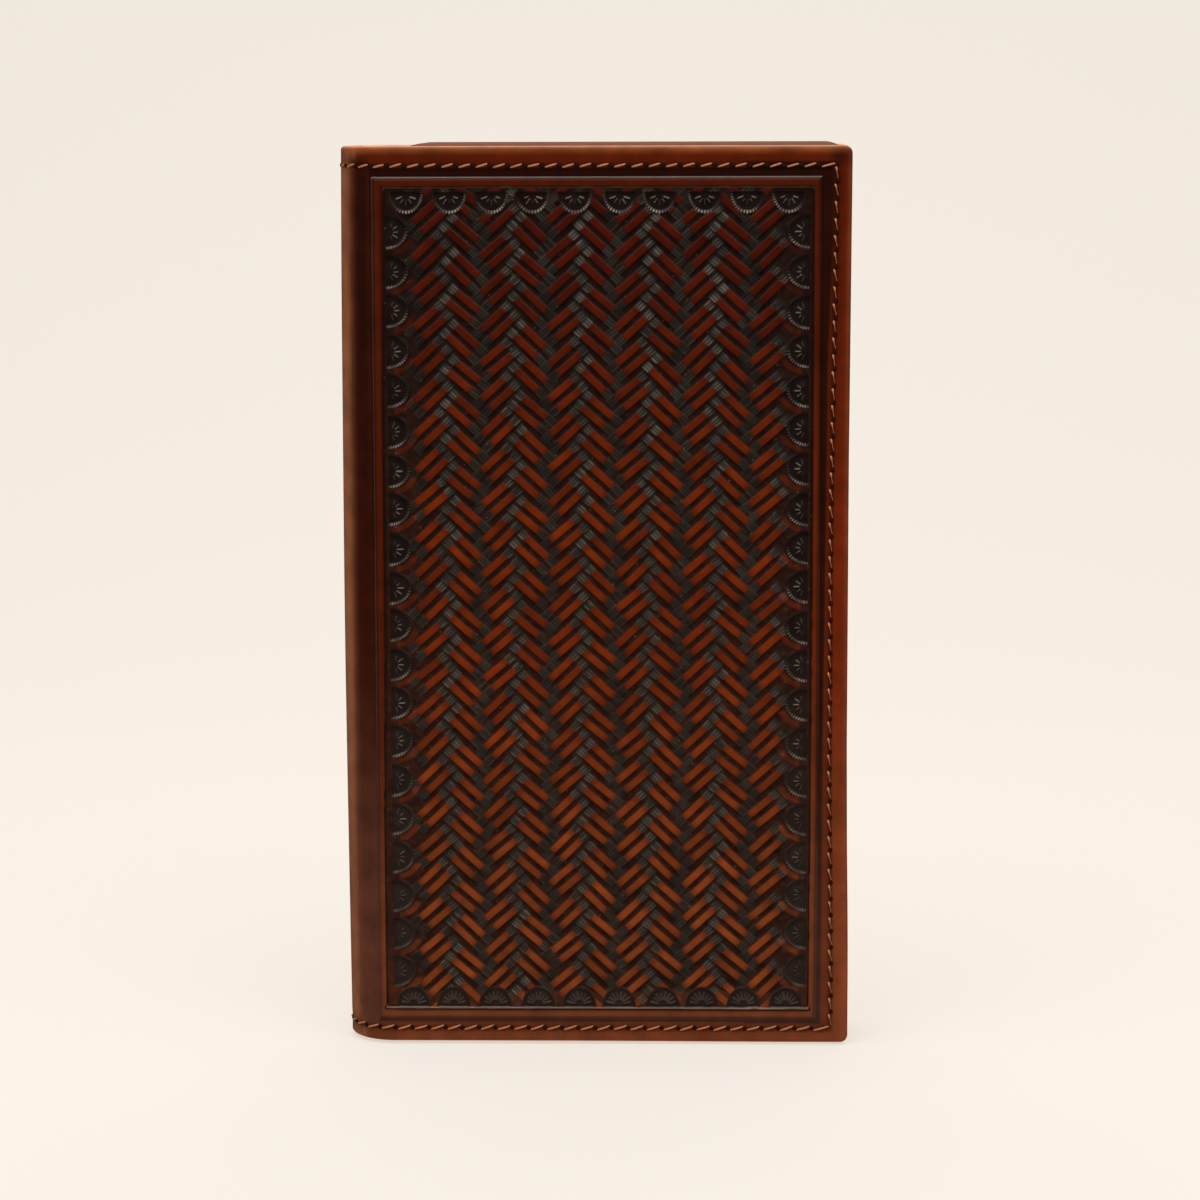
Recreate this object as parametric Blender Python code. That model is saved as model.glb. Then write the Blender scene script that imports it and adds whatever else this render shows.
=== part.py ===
"""Tall folding wallet in tooled leather, with card slots, a bill pocket and an ID window.

The wallet stands closed on its short edge. +Z is up, the front cover faces -Y, the folding
edge (spine) is at -X and the free edge at +X. Lengths are in metres.

A position on the tooled outside is written (u, z): u runs along the surface from the free
edge towards the spine, flat first and then round the spine's arc.
"""

import math

import bmesh
import bpy

MM = 0.001

# Sizes that drive the part
HEIGHT = 177.8 * MM
WIDTH = 99.0 * MM
THICKNESS = 19.0 * MM
COVER_THICK = 2.0 * MM
LINING_THICK = 0.5 * MM
GAP = 0.3 * MM
PANEL_PROUD = 0.3 * MM
EDGE_CORNER = 1.4 * MM

# Fold
SPINE_RADIUS = THICKNESS / 2
FOLD_X = -WIDTH / 2 + SPINE_RADIUS
FREE_X = WIDTH / 2
FLAT_LENGTH = FREE_X - FOLD_X
COVER_HEIGHT = HEIGHT - PANEL_PROUD
SPINE_STRIPS = 3
STRIP_ANGLE = math.pi / (SPINE_STRIPS + 1)
HINGE_RADIUS = SPINE_RADIUS * (STRIP_ANGLE / 2) / math.sin(STRIP_ANGLE / 2)
ARC_STEPS_PER_STRIP = 6

# Pocket panels
BILL_GAP = 1.0 * MM
PANEL_SHEET = 0.8 * MM
PANEL_RAIL = 3.0 * MM
PANEL_PAST_FOLD = 2.4 * MM
RAIL_PAST_FOLD = 0.9 * MM
PANEL_FOLD_CORNER = 10.0 * MM
PANEL_FREE_CORNER = 4.0 * MM
PANEL_BOTTOM = 0.3 * MM

# Card slots
SLOT_PITCH = 18.5 * MM
SLOT_DEPTH = 42.5 * MM
SLOT_SHEET = 0.6 * MM
CARD_GAP = 0.8 * MM
SLOT_RAIL = 2.5 * MM
SLOT_RAIL_DROP = 0.5 * MM
FIRST_SLOT_TOP = 52.0 * MM
BACK_SLOTS = 6
FRONT_SLOTS = 3

# ID window
WINDOW_FRAME = (88.0 * MM, 60.0 * MM)
WINDOW_BOTTOM = 101.0 * MM
WINDOW_OPENING = (78.0 * MM, 46.0 * MM)
WINDOW_LIP = 0.6 * MM
WINDOW_DEPTH = 1.7 * MM
WINDOW_SIDE = 2.5 * MM
WINDOW_SHEET = 0.3 * MM

# Tooled frame on the outside, as distances from the cover's edges
GROOVE_DEPTH = 0.35 * MM
GROUND_DEPTH = 0.5 * MM
GROOVE_FREE = (4.0 * MM, 5.6 * MM)
GROOVE_TOP = (4.3 * MM, 6.3 * MM)
GROOVE_BOTTOM = (3.4 * MM, 4.8 * MM)
GROOVE_SPINE_END = FLAT_LENGTH + 6.9 * MM
GROUND_FREE = 7.8 * MM
GROUND_SPINE = FLAT_LENGTH + 0.8 * MM
GROUND_TOP = 8.5 * MM
GROUND_BOTTOM = 6.8 * MM

# Basketweave panel, the part's most skilful feature: straps on a lattice of two directions
WEAVE_CELL = (13.05 * MM, 6.88 * MM)
WEAVE_ANGLE = math.radians(42)
WEAVE_ORIGIN = (0.75 * MM, 84.7 * MM)
STRAP_SIZE = (8.8 * MM, 3.6 * MM)
STRAP_DEPTH = 0.1 * MM
STRAP_ROOT = 0.3 * MM

# Border of half-moon stamps round the weave
MOON_SIZE = (7.2 * MM, 4.4 * MM)
MOON_DEPTH = 0.25 * MM
MOON_PITCH = MOON_SIZE[0] + 0.25 * MM
MOON_STEPS = 6
MOON_OFFSET = 0.3 * MM
MOON_CORNER = 4.9 * MM
FIELD_MARGIN = 5.0 * MM
FIELD_SIDE = 4.2 * MM


def clear_scene():
    for obj in list(bpy.data.objects):
        bpy.data.objects.remove(obj, do_unlink=True)
    for mesh in list(bpy.data.meshes):
        bpy.data.meshes.remove(mesh)


def make_collection(name):
    group = bpy.data.collections.new(name)
    bpy.context.scene.collection.children.link(group)
    return group


def make_material(name, colour, roughness):
    material = bpy.data.materials.new(name)
    material.use_nodes = True
    shader = material.node_tree.nodes["Principled BSDF"]
    shader.inputs["Base Color"].default_value = (*colour, 1.0)
    shader.inputs["Roughness"].default_value = roughness
    return material


def object_from_bmesh(name, mesh_data, group, material=None):
    bmesh.ops.recalc_face_normals(mesh_data, faces=mesh_data.faces)
    mesh = bpy.data.meshes.new(name)
    mesh_data.to_mesh(mesh)
    mesh_data.free()
    obj = bpy.data.objects.new(name, mesh)
    group.objects.link(obj)
    if material is not None:
        mesh.materials.append(material)
    return obj


def prism(points, low, high, place):
    """Closed prism of a polygon; place turns (first, second, height) into a position."""
    data = bmesh.new()
    bottom = [data.verts.new(place(a, b, low)) for a, b in points]
    top = [data.verts.new(place(a, b, high)) for a, b in points]
    count = len(points)
    data.faces.new(bottom)
    data.faces.new(list(reversed(top)))
    for index in range(count):
        following = (index + 1) % count
        data.faces.new((bottom[index], bottom[following], top[following], top[index]))
    return data


def upright(x, y, z):
    return (x, y, z)


def facing_y(x, z, y):
    return (x, y, z)


def facing_x(y, z, x):
    return (x, y, z)


def surface_point(side, u, depth):
    """Point at the given depth under the outside; side is 1 on the back and -1 in front."""
    radius = SPINE_RADIUS - depth
    if u <= FLAT_LENGTH:
        return (FREE_X - u, side * radius)
    angle = math.pi / 2 + (u - FLAT_LENGTH) / SPINE_RADIUS
    return (FOLD_X + radius * math.cos(angle), side * radius * math.sin(angle))


def arc_positions(start, end):
    """Positions along u from start to end, with steps only where the surface bends."""
    positions = [start]
    bend = max(start, FLAT_LENGTH)
    if bend > start and bend < end:
        positions.append(bend)
    if end > bend:
        step = STRIP_ANGLE * SPINE_RADIUS / ARC_STEPS_PER_STRIP
        count = max(1, math.ceil((end - bend) / step - 1e-6))
        positions += [bend + (end - bend) * index / count for index in range(1, count + 1)]
    elif end > positions[-1]:
        positions.append(end)
    return positions


def layer_profile(side, start, end, outer_depth, inner_depth):
    """Cross-section of a layer between two positions along the surface and two depths."""
    positions = arc_positions(start, end)
    outside = [surface_point(side, u, outer_depth) for u in positions]
    inside = [surface_point(side, u, inner_depth) for u in reversed(positions)]
    return outside + inside


def joint_trim(depth):
    """Half of the gap at a joint, as a length along the outside for a layer this deep."""
    return 0.5 * GAP * SPINE_RADIUS / (SPINE_RADIUS - depth)


def hinge_position(number):
    """Position u of a joint, counted from the cover's side; the first is number 0."""
    return FLAT_LENGTH + SPINE_RADIUS * STRIP_ANGLE * (0.5 + number)


def bevel_edges(data, chosen, width, segments):
    bmesh.ops.bevel(
        data,
        geom=chosen,
        offset=width,
        segments=segments,
        profile=0.5,
        affect="EDGES",
        clamp_overlap=True,
    )


def round_free_corners(data, free_x, low, high, radius):
    chosen = []
    for edge in data.edges:
        middle = (edge.verts[0].co + edge.verts[1].co) / 2
        along_y = abs((edge.verts[0].co - edge.verts[1].co).normalized().y) > 0.9
        at_free = abs(middle.x - free_x) < 1e-6
        at_end = min(abs(middle.z - low), abs(middle.z - high)) < 1e-6
        if along_y and at_free and at_end:
            chosen.append(edge)
    bevel_edges(data, chosen, radius, 4)


def boolean(target, tool, operation):
    modifier = target.modifiers.new("cut", "BOOLEAN")
    modifier.operation = operation
    modifier.solver = "EXACT"
    modifier.object = tool
    graph = bpy.context.evaluated_depsgraph_get()
    mesh = bpy.data.meshes.new_from_object(target.evaluated_get(graph))
    target.modifiers.remove(modifier)
    old = target.data
    name = old.name
    target.data = mesh
    bpy.data.meshes.remove(old)
    mesh.name = name


def clean(target):
    data = bmesh.new()
    data.from_mesh(target.data)
    bmesh.ops.remove_doubles(data, verts=data.verts, dist=0.000002)
    bmesh.ops.dissolve_degenerate(data, edges=data.edges, dist=0.000001)
    bmesh.ops.triangulate(data, faces=[face for face in data.faces if len(face.verts) > 4])
    data.to_mesh(target.data)
    data.free()


def hide_cutter(obj):
    obj.hide_render = True
    obj.display_type = "WIRE"


def cut(target, data, cutters, name):
    tool = object_from_bmesh(name, data, cutters)
    bpy.context.view_layer.update()
    boolean(target, tool, "DIFFERENCE")
    hide_cutter(tool)


def band(side, u_range, z_range, depth):
    """Solid that follows the outside and reaches the given depth into it."""
    profile = layer_profile(side, u_range[0], u_range[1], -1.0 * MM, depth)
    return prism(profile, z_range[0], z_range[1], upright)


def clip_polygon(points, axis, limit, keep_above):
    """Part of a polygon on one side of a line across the first or second coordinate."""
    result = []
    for index, point in enumerate(points):
        before = points[index - 1]
        inside = (point[axis] > limit) == keep_above
        was_inside = (before[axis] > limit) == keep_above
        if inside != was_inside:
            share = (limit - before[axis]) / (point[axis] - before[axis])
            result.append(tuple(b + share * (p - b) for b, p in zip(before, point)))
        if inside:
            result.append(point)
    return result


def polygon_area(points):
    total = 0.0
    for index, point in enumerate(points):
        before = points[index - 1]
        total += before[0] * point[1] - point[0] * before[1]
    return abs(total) / 2


def field_limits():
    """Ground of the front cover as low x, high x, low z and high z."""
    low_x = FREE_X - GROUND_SPINE
    return low_x, FREE_X - GROUND_FREE, GROUND_BOTTOM, COVER_HEIGHT - GROUND_TOP


def strap_outline(centre_x, centre_z, angle):
    along = (math.cos(angle), math.sin(angle))
    across = (-along[1], along[0])
    half_length, half_width = STRAP_SIZE[0] / 2, STRAP_SIZE[1] / 2
    points = []
    for a, b in ((-1, -1), (1, -1), (1, 1), (-1, 1)):
        x = centre_x + a * half_length * along[0] + b * half_width * across[0]
        z = centre_z + a * half_length * along[1] + b * half_width * across[1]
        points.append((x, z))
    return points


def weave_outlines():
    """Straps of the weave, trimmed to the field inside the half-moons."""
    low_x, high_x, low_z, high_z = field_limits()
    low_z += FIELD_MARGIN
    high_z -= FIELD_MARGIN
    rows = math.ceil(COVER_HEIGHT / WEAVE_CELL[1])
    columns = math.ceil((high_x - low_x) / WEAVE_CELL[0])
    smallest = 0.2 * STRAP_SIZE[0] * STRAP_SIZE[1]
    reach = 0.5 * (STRAP_SIZE[0] * math.cos(WEAVE_ANGLE) + STRAP_SIZE[1] * math.sin(WEAVE_ANGLE))
    outlines = []
    for half, angle in ((0.0, -WEAVE_ANGLE), (0.5, WEAVE_ANGLE)):
        for column in range(-columns, columns + 1):
            x = WEAVE_ORIGIN[0] + (column + half) * WEAVE_CELL[0]
            inside = x - reach > low_x + FIELD_SIDE and x + reach < high_x - FIELD_SIDE
            if not inside:
                continue
            for row in range(-rows, rows + 1):
                z = WEAVE_ORIGIN[1] + (row + half) * WEAVE_CELL[1]
                points = strap_outline(x, z, angle)
                points = clip_polygon(points, 1, low_z, True)
                points = clip_polygon(points, 1, high_z, False)
                if len(points) > 2 and polygon_area(points) > smallest:
                    outlines.append(points)
    return outlines


def moon_outline(x, z, direction):
    """Half-moon on the point at the middle of its flat side; direction is its way out."""
    half_width, depth = MOON_SIZE[0] / 2, MOON_SIZE[1]
    points = []
    for index in range(MOON_STEPS + 1):
        angle = math.pi * index / MOON_STEPS
        a = half_width * math.cos(angle)
        b = depth * math.sin(angle)
        move_x = a * direction[1] + b * direction[0]
        move_z = b * direction[1] - a * direction[0]
        points.append((x + move_x, z + move_z))
    return points


def spread(low, high):
    """Middles of as many half-moons as fit between two positions."""
    count = max(1, int((high - low) / MOON_PITCH))
    return [low + (high - low) * index / count for index in range(count + 1)]


def moon_outlines():
    low_x, high_x, low_z, high_z = field_limits()
    low_x += MOON_OFFSET
    high_x -= MOON_OFFSET
    low_z += MOON_OFFSET
    high_z -= MOON_OFFSET
    outlines = []
    for x in spread(low_x + MOON_CORNER, high_x - MOON_CORNER):
        outlines.append(moon_outline(x, low_z, (0, 1)))
        outlines.append(moon_outline(x, high_z, (0, -1)))
    for z in spread(low_z + 2 * MOON_CORNER, high_z - 2 * MOON_CORNER):
        outlines.append(moon_outline(low_x, z, (1, 0)))
        outlines.append(moon_outline(high_x, z, (-1, 0)))
    return outlines


def raise_outlines(cover, side, outlines, depth, cutters, name):
    """Join raised shapes to the sunk ground of a cover."""
    data = bmesh.new()
    low = side * (SPINE_RADIUS - GROUND_DEPTH - STRAP_ROOT)
    high = side * (SPINE_RADIUS - depth)
    for points in outlines:
        count = len(points)
        bottom = [data.verts.new((x, low, z)) for x, z in points]
        top = [data.verts.new((x, high, z)) for x, z in points]
        data.faces.new(bottom)
        data.faces.new(list(reversed(top)))
        for index in range(count):
            following = (index + 1) % count
            data.faces.new((bottom[index], bottom[following], top[following], top[index]))
    tool = object_from_bmesh(name, data, cutters)
    bpy.context.view_layer.update()
    boolean(cover, tool, "UNION")
    hide_cutter(tool)


def tool_cover(cover, side, cutters):
    """Frame groove, sunk ground, basketweave and half-moon border of one cover."""
    top = COVER_HEIGHT
    past = hinge_position(0) + 1.0 * MM
    groove = (GROOVE_BOTTOM[0], top - GROOVE_TOP[0])
    bands = {
        "groove_free": (GROOVE_FREE, groove, GROOVE_DEPTH),
        "groove_top": (
            (GROOVE_FREE[0], past),
            (top - GROOVE_TOP[1], top - GROOVE_TOP[0]),
            GROOVE_DEPTH,
        ),
        "groove_bottom": ((GROOVE_FREE[0], past), GROOVE_BOTTOM, GROOVE_DEPTH),
        "ground": (
            (GROUND_FREE, GROUND_SPINE),
            (GROUND_BOTTOM, top - GROUND_TOP),
            GROUND_DEPTH,
        ),
    }
    for name, (u_range, z_range, depth) in bands.items():
        cut(cover, band(side, u_range, z_range, depth), cutters, f"{cover.name}_{name}")
    raise_outlines(cover, side, weave_outlines(), STRAP_DEPTH, cutters, f"{cover.name}_weave")
    raise_outlines(cover, side, moon_outlines(), MOON_DEPTH, cutters, f"{cover.name}_moons")
    clean(cover)


def make_cover(name, side, group, cutters, material):
    end = hinge_position(0) - joint_trim(0.0)
    profile = layer_profile(side, 0.0, end, 0.0, COVER_THICK)
    data = prism(profile, 0.0, COVER_HEIGHT, upright)
    round_free_corners(data, FREE_X, 0.0, COVER_HEIGHT, EDGE_CORNER)
    cover = object_from_bmesh(name, data, group, material)
    tool_cover(cover, side, cutters)
    return cover


def lining_depths():
    outer = COVER_THICK + GAP
    return outer, outer + LINING_THICK


def make_cover_lining(name, side, group, material):
    outer, inner = lining_depths()
    end = hinge_position(0) - joint_trim(outer)
    profile = layer_profile(side, GAP, end, outer, inner)
    data = prism(profile, GAP, COVER_HEIGHT - GAP, upright)
    round_free_corners(data, FREE_X - GAP, GAP, COVER_HEIGHT - GAP, EDGE_CORNER)
    return object_from_bmesh(name, data, group, material)


def strip_profile(number, outer_depth, inner_depth):
    """Cross-section of a spine strip; number 0 is beside the back cover."""
    trim = joint_trim(outer_depth)
    start = hinge_position(number) + trim
    end = hinge_position(number + 1) - trim
    return layer_profile(1, start, end, outer_depth, inner_depth)


def make_spine_strip(number, name, group, cutters, material):
    data = prism(strip_profile(number, 0.0, COVER_THICK), 0.0, COVER_HEIGHT, upright)
    strip = object_from_bmesh(f"{name}_leather", data, group, material)
    sides = {0: 1, SPINE_STRIPS - 1: -1}
    if number in sides:
        start = hinge_position(0) - 1.0 * MM
        z_range = (GROOVE_BOTTOM[0], COVER_HEIGHT - GROOVE_TOP[0])
        data = band(sides[number], (start, GROOVE_SPINE_END), z_range, GROOVE_DEPTH)
        cut(strip, data, cutters, f"{name}_groove")
        clean(strip)
    return strip


def make_spine_lining(number, name, group, material):
    outer, inner = lining_depths()
    data = prism(strip_profile(number, outer, inner), GAP, COVER_HEIGHT - GAP, upright)
    return object_from_bmesh(f"{name}_lining", data, group, material)


def rounded_outline(low_x, high_x, low_z, high_z, low_radius, high_radius):
    """Outline in X and Z with one corner radius at the low X end and one at the high X end."""
    corners = (
        (low_x + low_radius, low_z + low_radius, low_radius, 180),
        (high_x - high_radius, low_z + high_radius, high_radius, 270),
        (high_x - high_radius, high_z - high_radius, high_radius, 0),
        (low_x + low_radius, high_z - low_radius, low_radius, 90),
    )
    points = []
    steps = 6
    for centre_x, centre_z, radius, start in corners:
        for index in range(steps + 1):
            angle = math.radians(start + 90 * index / steps)
            x = centre_x + radius * math.cos(angle)
            z = centre_z + radius * math.sin(angle)
            points.append((x, z))
    return points


def panel_faces():
    """Distances from the middle plane of the pocket panel's back, sheet back and front."""
    back = SPINE_RADIUS - lining_depths()[1] - GAP
    sheet_back = back - BILL_GAP
    return back, sheet_back, sheet_back - PANEL_SHEET


def panel_range():
    return FOLD_X - PANEL_PAST_FOLD, FREE_X - GAP


def make_pocket_panel(name, side, group, cutters, material):
    """Panel sewn along three edges, with the bill pocket behind it open to the fold."""
    back, sheet_back, front = panel_faces()
    low_x, high_x = panel_range()
    outline = rounded_outline(
        low_x, high_x, PANEL_BOTTOM, HEIGHT, PANEL_FOLD_CORNER, PANEL_FREE_CORNER
    )
    data = prism(outline, side * front, side * back, facing_y)
    panel = object_from_bmesh(name, data, group, material)
    past = 1.0 * MM
    pocket = (
        (low_x - past, PANEL_BOTTOM + PANEL_RAIL),
        (high_x - PANEL_RAIL, PANEL_BOTTOM + PANEL_RAIL),
        (high_x - PANEL_RAIL, HEIGHT - PANEL_RAIL),
        (low_x - past, HEIGHT - PANEL_RAIL),
    )
    data = prism(pocket, side * sheet_back, side * (back + past), facing_y)
    cut(panel, data, cutters, f"{name}_pocket")
    rail_end = FOLD_X - RAIL_PAST_FOLD
    relief = (
        (low_x - past, PANEL_BOTTOM - past),
        (rail_end, PANEL_BOTTOM - past),
        (rail_end, HEIGHT + past),
        (low_x - past, HEIGHT + past),
    )
    data = prism(relief, side * sheet_back, side * (back + past), facing_y)
    cut(panel, data, cutters, f"{name}_fold_relief")
    clean(panel)
    return panel


def slot_levels(total):
    """Underside of each slot sheet as (height above its bottom, level over the panel).

    The list starts with the topmost slot, which lies on the panel. Each slot after it lies
    on the slot above, with room for one card between them.
    """
    layer = SLOT_SHEET + CARD_GAP
    flat = CARD_GAP + 0.1 * MM
    profiles = [((0.0, GAP), (SLOT_PITCH, flat), (SLOT_DEPTH, flat))]
    while len(profiles) < total:
        above = profiles[-1]
        points = [(0.0, GAP)]
        for height, level in above:
            if SLOT_PITCH + height < SLOT_DEPTH - 1e-6:
                points.append((SLOT_PITCH + height, level + layer))
        points.append((SLOT_DEPTH, level_at(above, SLOT_DEPTH - SLOT_PITCH) + layer))
        profiles.append(tuple(points))
    return profiles


def level_at(profile, height):
    for (low, start), (high, end) in zip(profile, profile[1:]):
        if low <= height <= high:
            return start + (end - start) * (height - low) / (high - low)
    return profile[-1][1]


def height_at(profile, level):
    for (low, start), (high, end) in zip(profile, profile[1:]):
        if start <= level <= end and end > start:
            return low + (high - low) * (level - start) / (end - start)
    return profile[-1][0]


def slot_range():
    low_x, high_x = panel_range()
    margin = 0.2 * MM
    return low_x + margin, high_x - margin


def slot_section(side, bottom, profile):
    """Section in Y and Z of a slot with its end rails, which stop short of what is behind."""
    front = panel_faces()[2]
    rail_start = height_at(profile, GAP + SLOT_RAIL_DROP)
    heights = {height for height, level in profile if height > rail_start}
    section = []
    for height, level in profile:
        section.append((side * (front - level - SLOT_SHEET), bottom + height))
    for height in sorted(heights | {rail_start}, reverse=True):
        level = max(GAP, level_at(profile, height) - SLOT_RAIL_DROP)
        section.append((side * (front - level), bottom + height))
    section.append((side * (front - GAP), bottom))
    return section


def slot_hollow(side, bottom, profile):
    """Section of the space for a card between the end rails, open at the top."""
    front = panel_faces()[2]
    levels = [(SLOT_RAIL, level_at(profile, SLOT_RAIL))]
    levels += [(height, level) for height, level in profile if height > SLOT_RAIL + 1e-6]
    levels.append((SLOT_DEPTH + 2.0 * MM, levels[-1][1]))
    hollow = []
    for height, level in levels:
        hollow.append((side * (front - level), bottom + height))
    for height, level in reversed(levels):
        hollow.append((side * (front - level + 2.0 * MM), bottom + height))
    return hollow


def make_card_slot(name, side, top, profile, group, cutters, material):
    """Card slot: a sheet held at its bottom and, by a rail, at each end."""
    low_x, high_x = slot_range()
    bottom = top - SLOT_DEPTH
    data = prism(slot_section(side, bottom, profile), low_x, high_x, facing_x)
    slot = object_from_bmesh(name, data, group, material)
    hollow = slot_hollow(side, bottom, profile)
    data = prism(hollow, low_x + SLOT_RAIL, high_x - SLOT_RAIL, facing_x)
    cut(slot, data, cutters, f"{name}_hollow")
    clean(slot)
    return slot


def window_levels():
    back = panel_faces()[2] - GAP
    return back, back - WINDOW_DEPTH + WINDOW_LIP, back - WINDOW_DEPTH


def window_centre_x():
    low_x, high_x = slot_range()
    return (low_x + high_x) / 2


def box_outline(centre_x, low_z, width, height):
    left = centre_x - width / 2
    right = left + width
    high_z = low_z + height
    return ((left, low_z), (right, low_z), (right, high_z), (left, high_z))


def make_window_frame(side, group, cutters, material):
    back, recess_end, front = window_levels()
    centre = window_centre_x()
    width, height = WINDOW_FRAME
    low_z = WINDOW_BOTTOM
    outline = rounded_outline(
        centre - width / 2, centre + width / 2, low_z, low_z + height, 2.0 * MM, 2.0 * MM
    )
    frame = object_from_bmesh(
        "id_window_frame", prism(outline, side * front, side * back, facing_y), group, material
    )
    past = 1.0 * MM
    recess = box_outline(
        centre, low_z + WINDOW_SIDE, width - 2 * WINDOW_SIDE, height - WINDOW_SIDE + past
    )
    data = prism(recess, side * recess_end, side * (back + past), facing_y)
    cut(frame, data, cutters, "window_recess")
    left = centre - WINDOW_OPENING[0] / 2
    border = (height - WINDOW_OPENING[1]) / 2
    opening = rounded_outline(
        left,
        left + WINDOW_OPENING[0],
        low_z + border,
        low_z + border + WINDOW_OPENING[1],
        3.0 * MM,
        3.0 * MM,
    )
    data = prism(opening, side * (front - past), side * (back + past), facing_y)
    cut(frame, data, cutters, "window_opening")
    clean(frame)
    return frame


def make_window_sheet(side, group, material):
    back, recess_end, front = window_levels()
    centre = window_centre_x()
    width = WINDOW_FRAME[0] - 2 * WINDOW_SIDE - 2 * GAP
    height = WINDOW_FRAME[1] - WINDOW_SIDE - 3 * GAP
    outline = box_outline(centre, WINDOW_BOTTOM + WINDOW_SIDE + GAP, width, height)
    near = side * (recess_end + GAP)
    far = side * (recess_end + GAP + WINDOW_SHEET)
    data = prism(outline, near, far, facing_y)
    return object_from_bmesh("id_window_sheet", data, group, material)


def set_origin(obj, position):
    """Move an object's origin without moving its surface."""
    x, y, z = position
    for vertex in obj.data.vertices:
        vertex.co.x -= x
        vertex.co.y -= y
        vertex.co.z -= z
    obj.location = position


def hinge_point(number):
    angle = math.pi / 2 + STRIP_ANGLE * (0.5 + number)
    return (
        FOLD_X + HINGE_RADIUS * math.cos(angle),
        HINGE_RADIUS * math.sin(angle),
        COVER_HEIGHT / 2,
    )


def build():
    clear_scene()
    group = make_collection("tooled_wallet")
    cutters = make_collection("cutters")
    tooled = make_material("tooled_leather", (0.30, 0.10, 0.035), 0.42)
    lining = make_material("lining_leather", (0.16, 0.06, 0.03), 0.6)
    pocket = make_material("pocket_leather", (0.24, 0.09, 0.04), 0.5)
    vinyl = make_material("clear_vinyl", (0.9, 0.92, 0.92), 0.15)

    make_cover("back_cover", 1, group, cutters, tooled)
    make_cover_lining("back_lining", 1, group, lining)
    make_pocket_panel("back_pocket_panel", 1, group, cutters, pocket)
    profiles = slot_levels(BACK_SLOTS)
    for number in range(BACK_SLOTS):
        top = FIRST_SLOT_TOP + SLOT_PITCH * number
        profile = profiles[BACK_SLOTS - 1 - number]
        name = f"back_card_slot_{number + 1}"
        make_card_slot(name, 1, top, profile, group, cutters, pocket)

    for number, name in enumerate(("spine_back", "spine_middle", "spine_front")):
        strip = make_spine_strip(number, name, group, cutters, tooled)
        inner = make_spine_lining(number, name, group, lining)
        for obj in (strip, inner):
            set_origin(obj, hinge_point(number))

    front = [
        make_cover("front_cover", -1, group, cutters, tooled),
        make_cover_lining("front_lining", -1, group, lining),
        make_pocket_panel("front_pocket_panel", -1, group, cutters, pocket),
        make_window_frame(-1, group, cutters, pocket),
        make_window_sheet(-1, group, vinyl),
    ]
    profiles = slot_levels(FRONT_SLOTS)
    for number in range(FRONT_SLOTS):
        top = FIRST_SLOT_TOP + SLOT_PITCH * number
        profile = profiles[FRONT_SLOTS - 1 - number]
        name = f"front_card_slot_{number + 1}"
        front.append(make_card_slot(name, -1, top, profile, group, cutters, pocket))
    for obj in front:
        set_origin(obj, hinge_point(SPINE_STRIPS))


build()
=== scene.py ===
"""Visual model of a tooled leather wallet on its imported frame, seen as in the photograph.

Lengths are in millimetres, apart from those of the stage, the lights and the camera. A place on
the outside is (s, z): s runs along the surface from the back cover's free edge, round the spine,
to the front's free edge. On one cover u is the distance from its free edge, and x = FREE_X - u.
"""

import math
from types import SimpleNamespace

import bpy
import numpy as np
from mathutils import Matrix, Vector
from mathutils.bvhtree import BVHTree


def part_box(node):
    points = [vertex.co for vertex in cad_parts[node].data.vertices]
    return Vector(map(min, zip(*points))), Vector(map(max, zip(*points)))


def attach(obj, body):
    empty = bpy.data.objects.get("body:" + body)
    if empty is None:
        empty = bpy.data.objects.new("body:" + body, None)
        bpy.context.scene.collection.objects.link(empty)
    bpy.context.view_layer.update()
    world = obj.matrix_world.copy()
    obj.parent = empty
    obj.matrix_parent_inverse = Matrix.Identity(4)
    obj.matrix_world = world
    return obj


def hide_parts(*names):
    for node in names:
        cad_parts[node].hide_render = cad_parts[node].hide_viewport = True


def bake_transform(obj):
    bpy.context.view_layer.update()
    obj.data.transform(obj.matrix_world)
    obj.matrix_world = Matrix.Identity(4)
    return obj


MM = 0.001


def rgb(*values):
    return np.array(values)


# Sizes shared with the frame
HEIGHT = 177.5
RADIUS = 9.5
FREE_X = 49.5
FOLD_X = -40.0
FLAT = FREE_X - FOLD_X
ARC = math.pi * RADIUS
TOTAL = 2 * FLAT + ARC
SKIN = 2.0
LINING = (2.3, 2.8)
SLOT_DEPTH = 42.5
ZONE_ENDS = (0.0, FLAT + ARC / 4, FLAT + ARC / 2, FLAT + 3 * ARC / 4, TOTAL)
ZONES = tuple(zip(ZONE_ENDS, ZONE_ENDS[1:]))

# Shape of the leather. A change is (amount, none of it here, all of it here)
TOP_DROP = 0.25
BOW = 0.45
BOW_DROP = 0.05
FLARE_TOP = (0.3, 135, 175)
FLARE_BOTTOM = (0.5, 60, 12)
FLARE_ACROSS = (3.6, 5.6)
BOTTOM_RISE = (0.12, 6.0, 60)
CORNER = 1.5
SKIN_EDGE = 0.85
LINING_EDGE = 0.22
LINING_INSET = (0.35, 0.3)
CALM = 0.05

# Spacing of the points: fine where the covers are tooled, coarse round the spine
FINE = (0.24, 0.24, 0.24, 0.17)
COARSE = 0.25
NEAR_EDGE = 0.3
TOOLED_U = (2.6, 97.5)
TOOLED_Z = (2.4, HEIGHT - 3.6)
SPINE_ROWS = 2.0
LINING_SPACING = 0.5
LINING_SHARE = 0.02
EDGE_TURN = np.linspace(0, math.pi, 9)[1:-1]
TURNS = len(EDGE_TURN)
BACK_SHARES = np.linspace(1, 0, 4)

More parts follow.
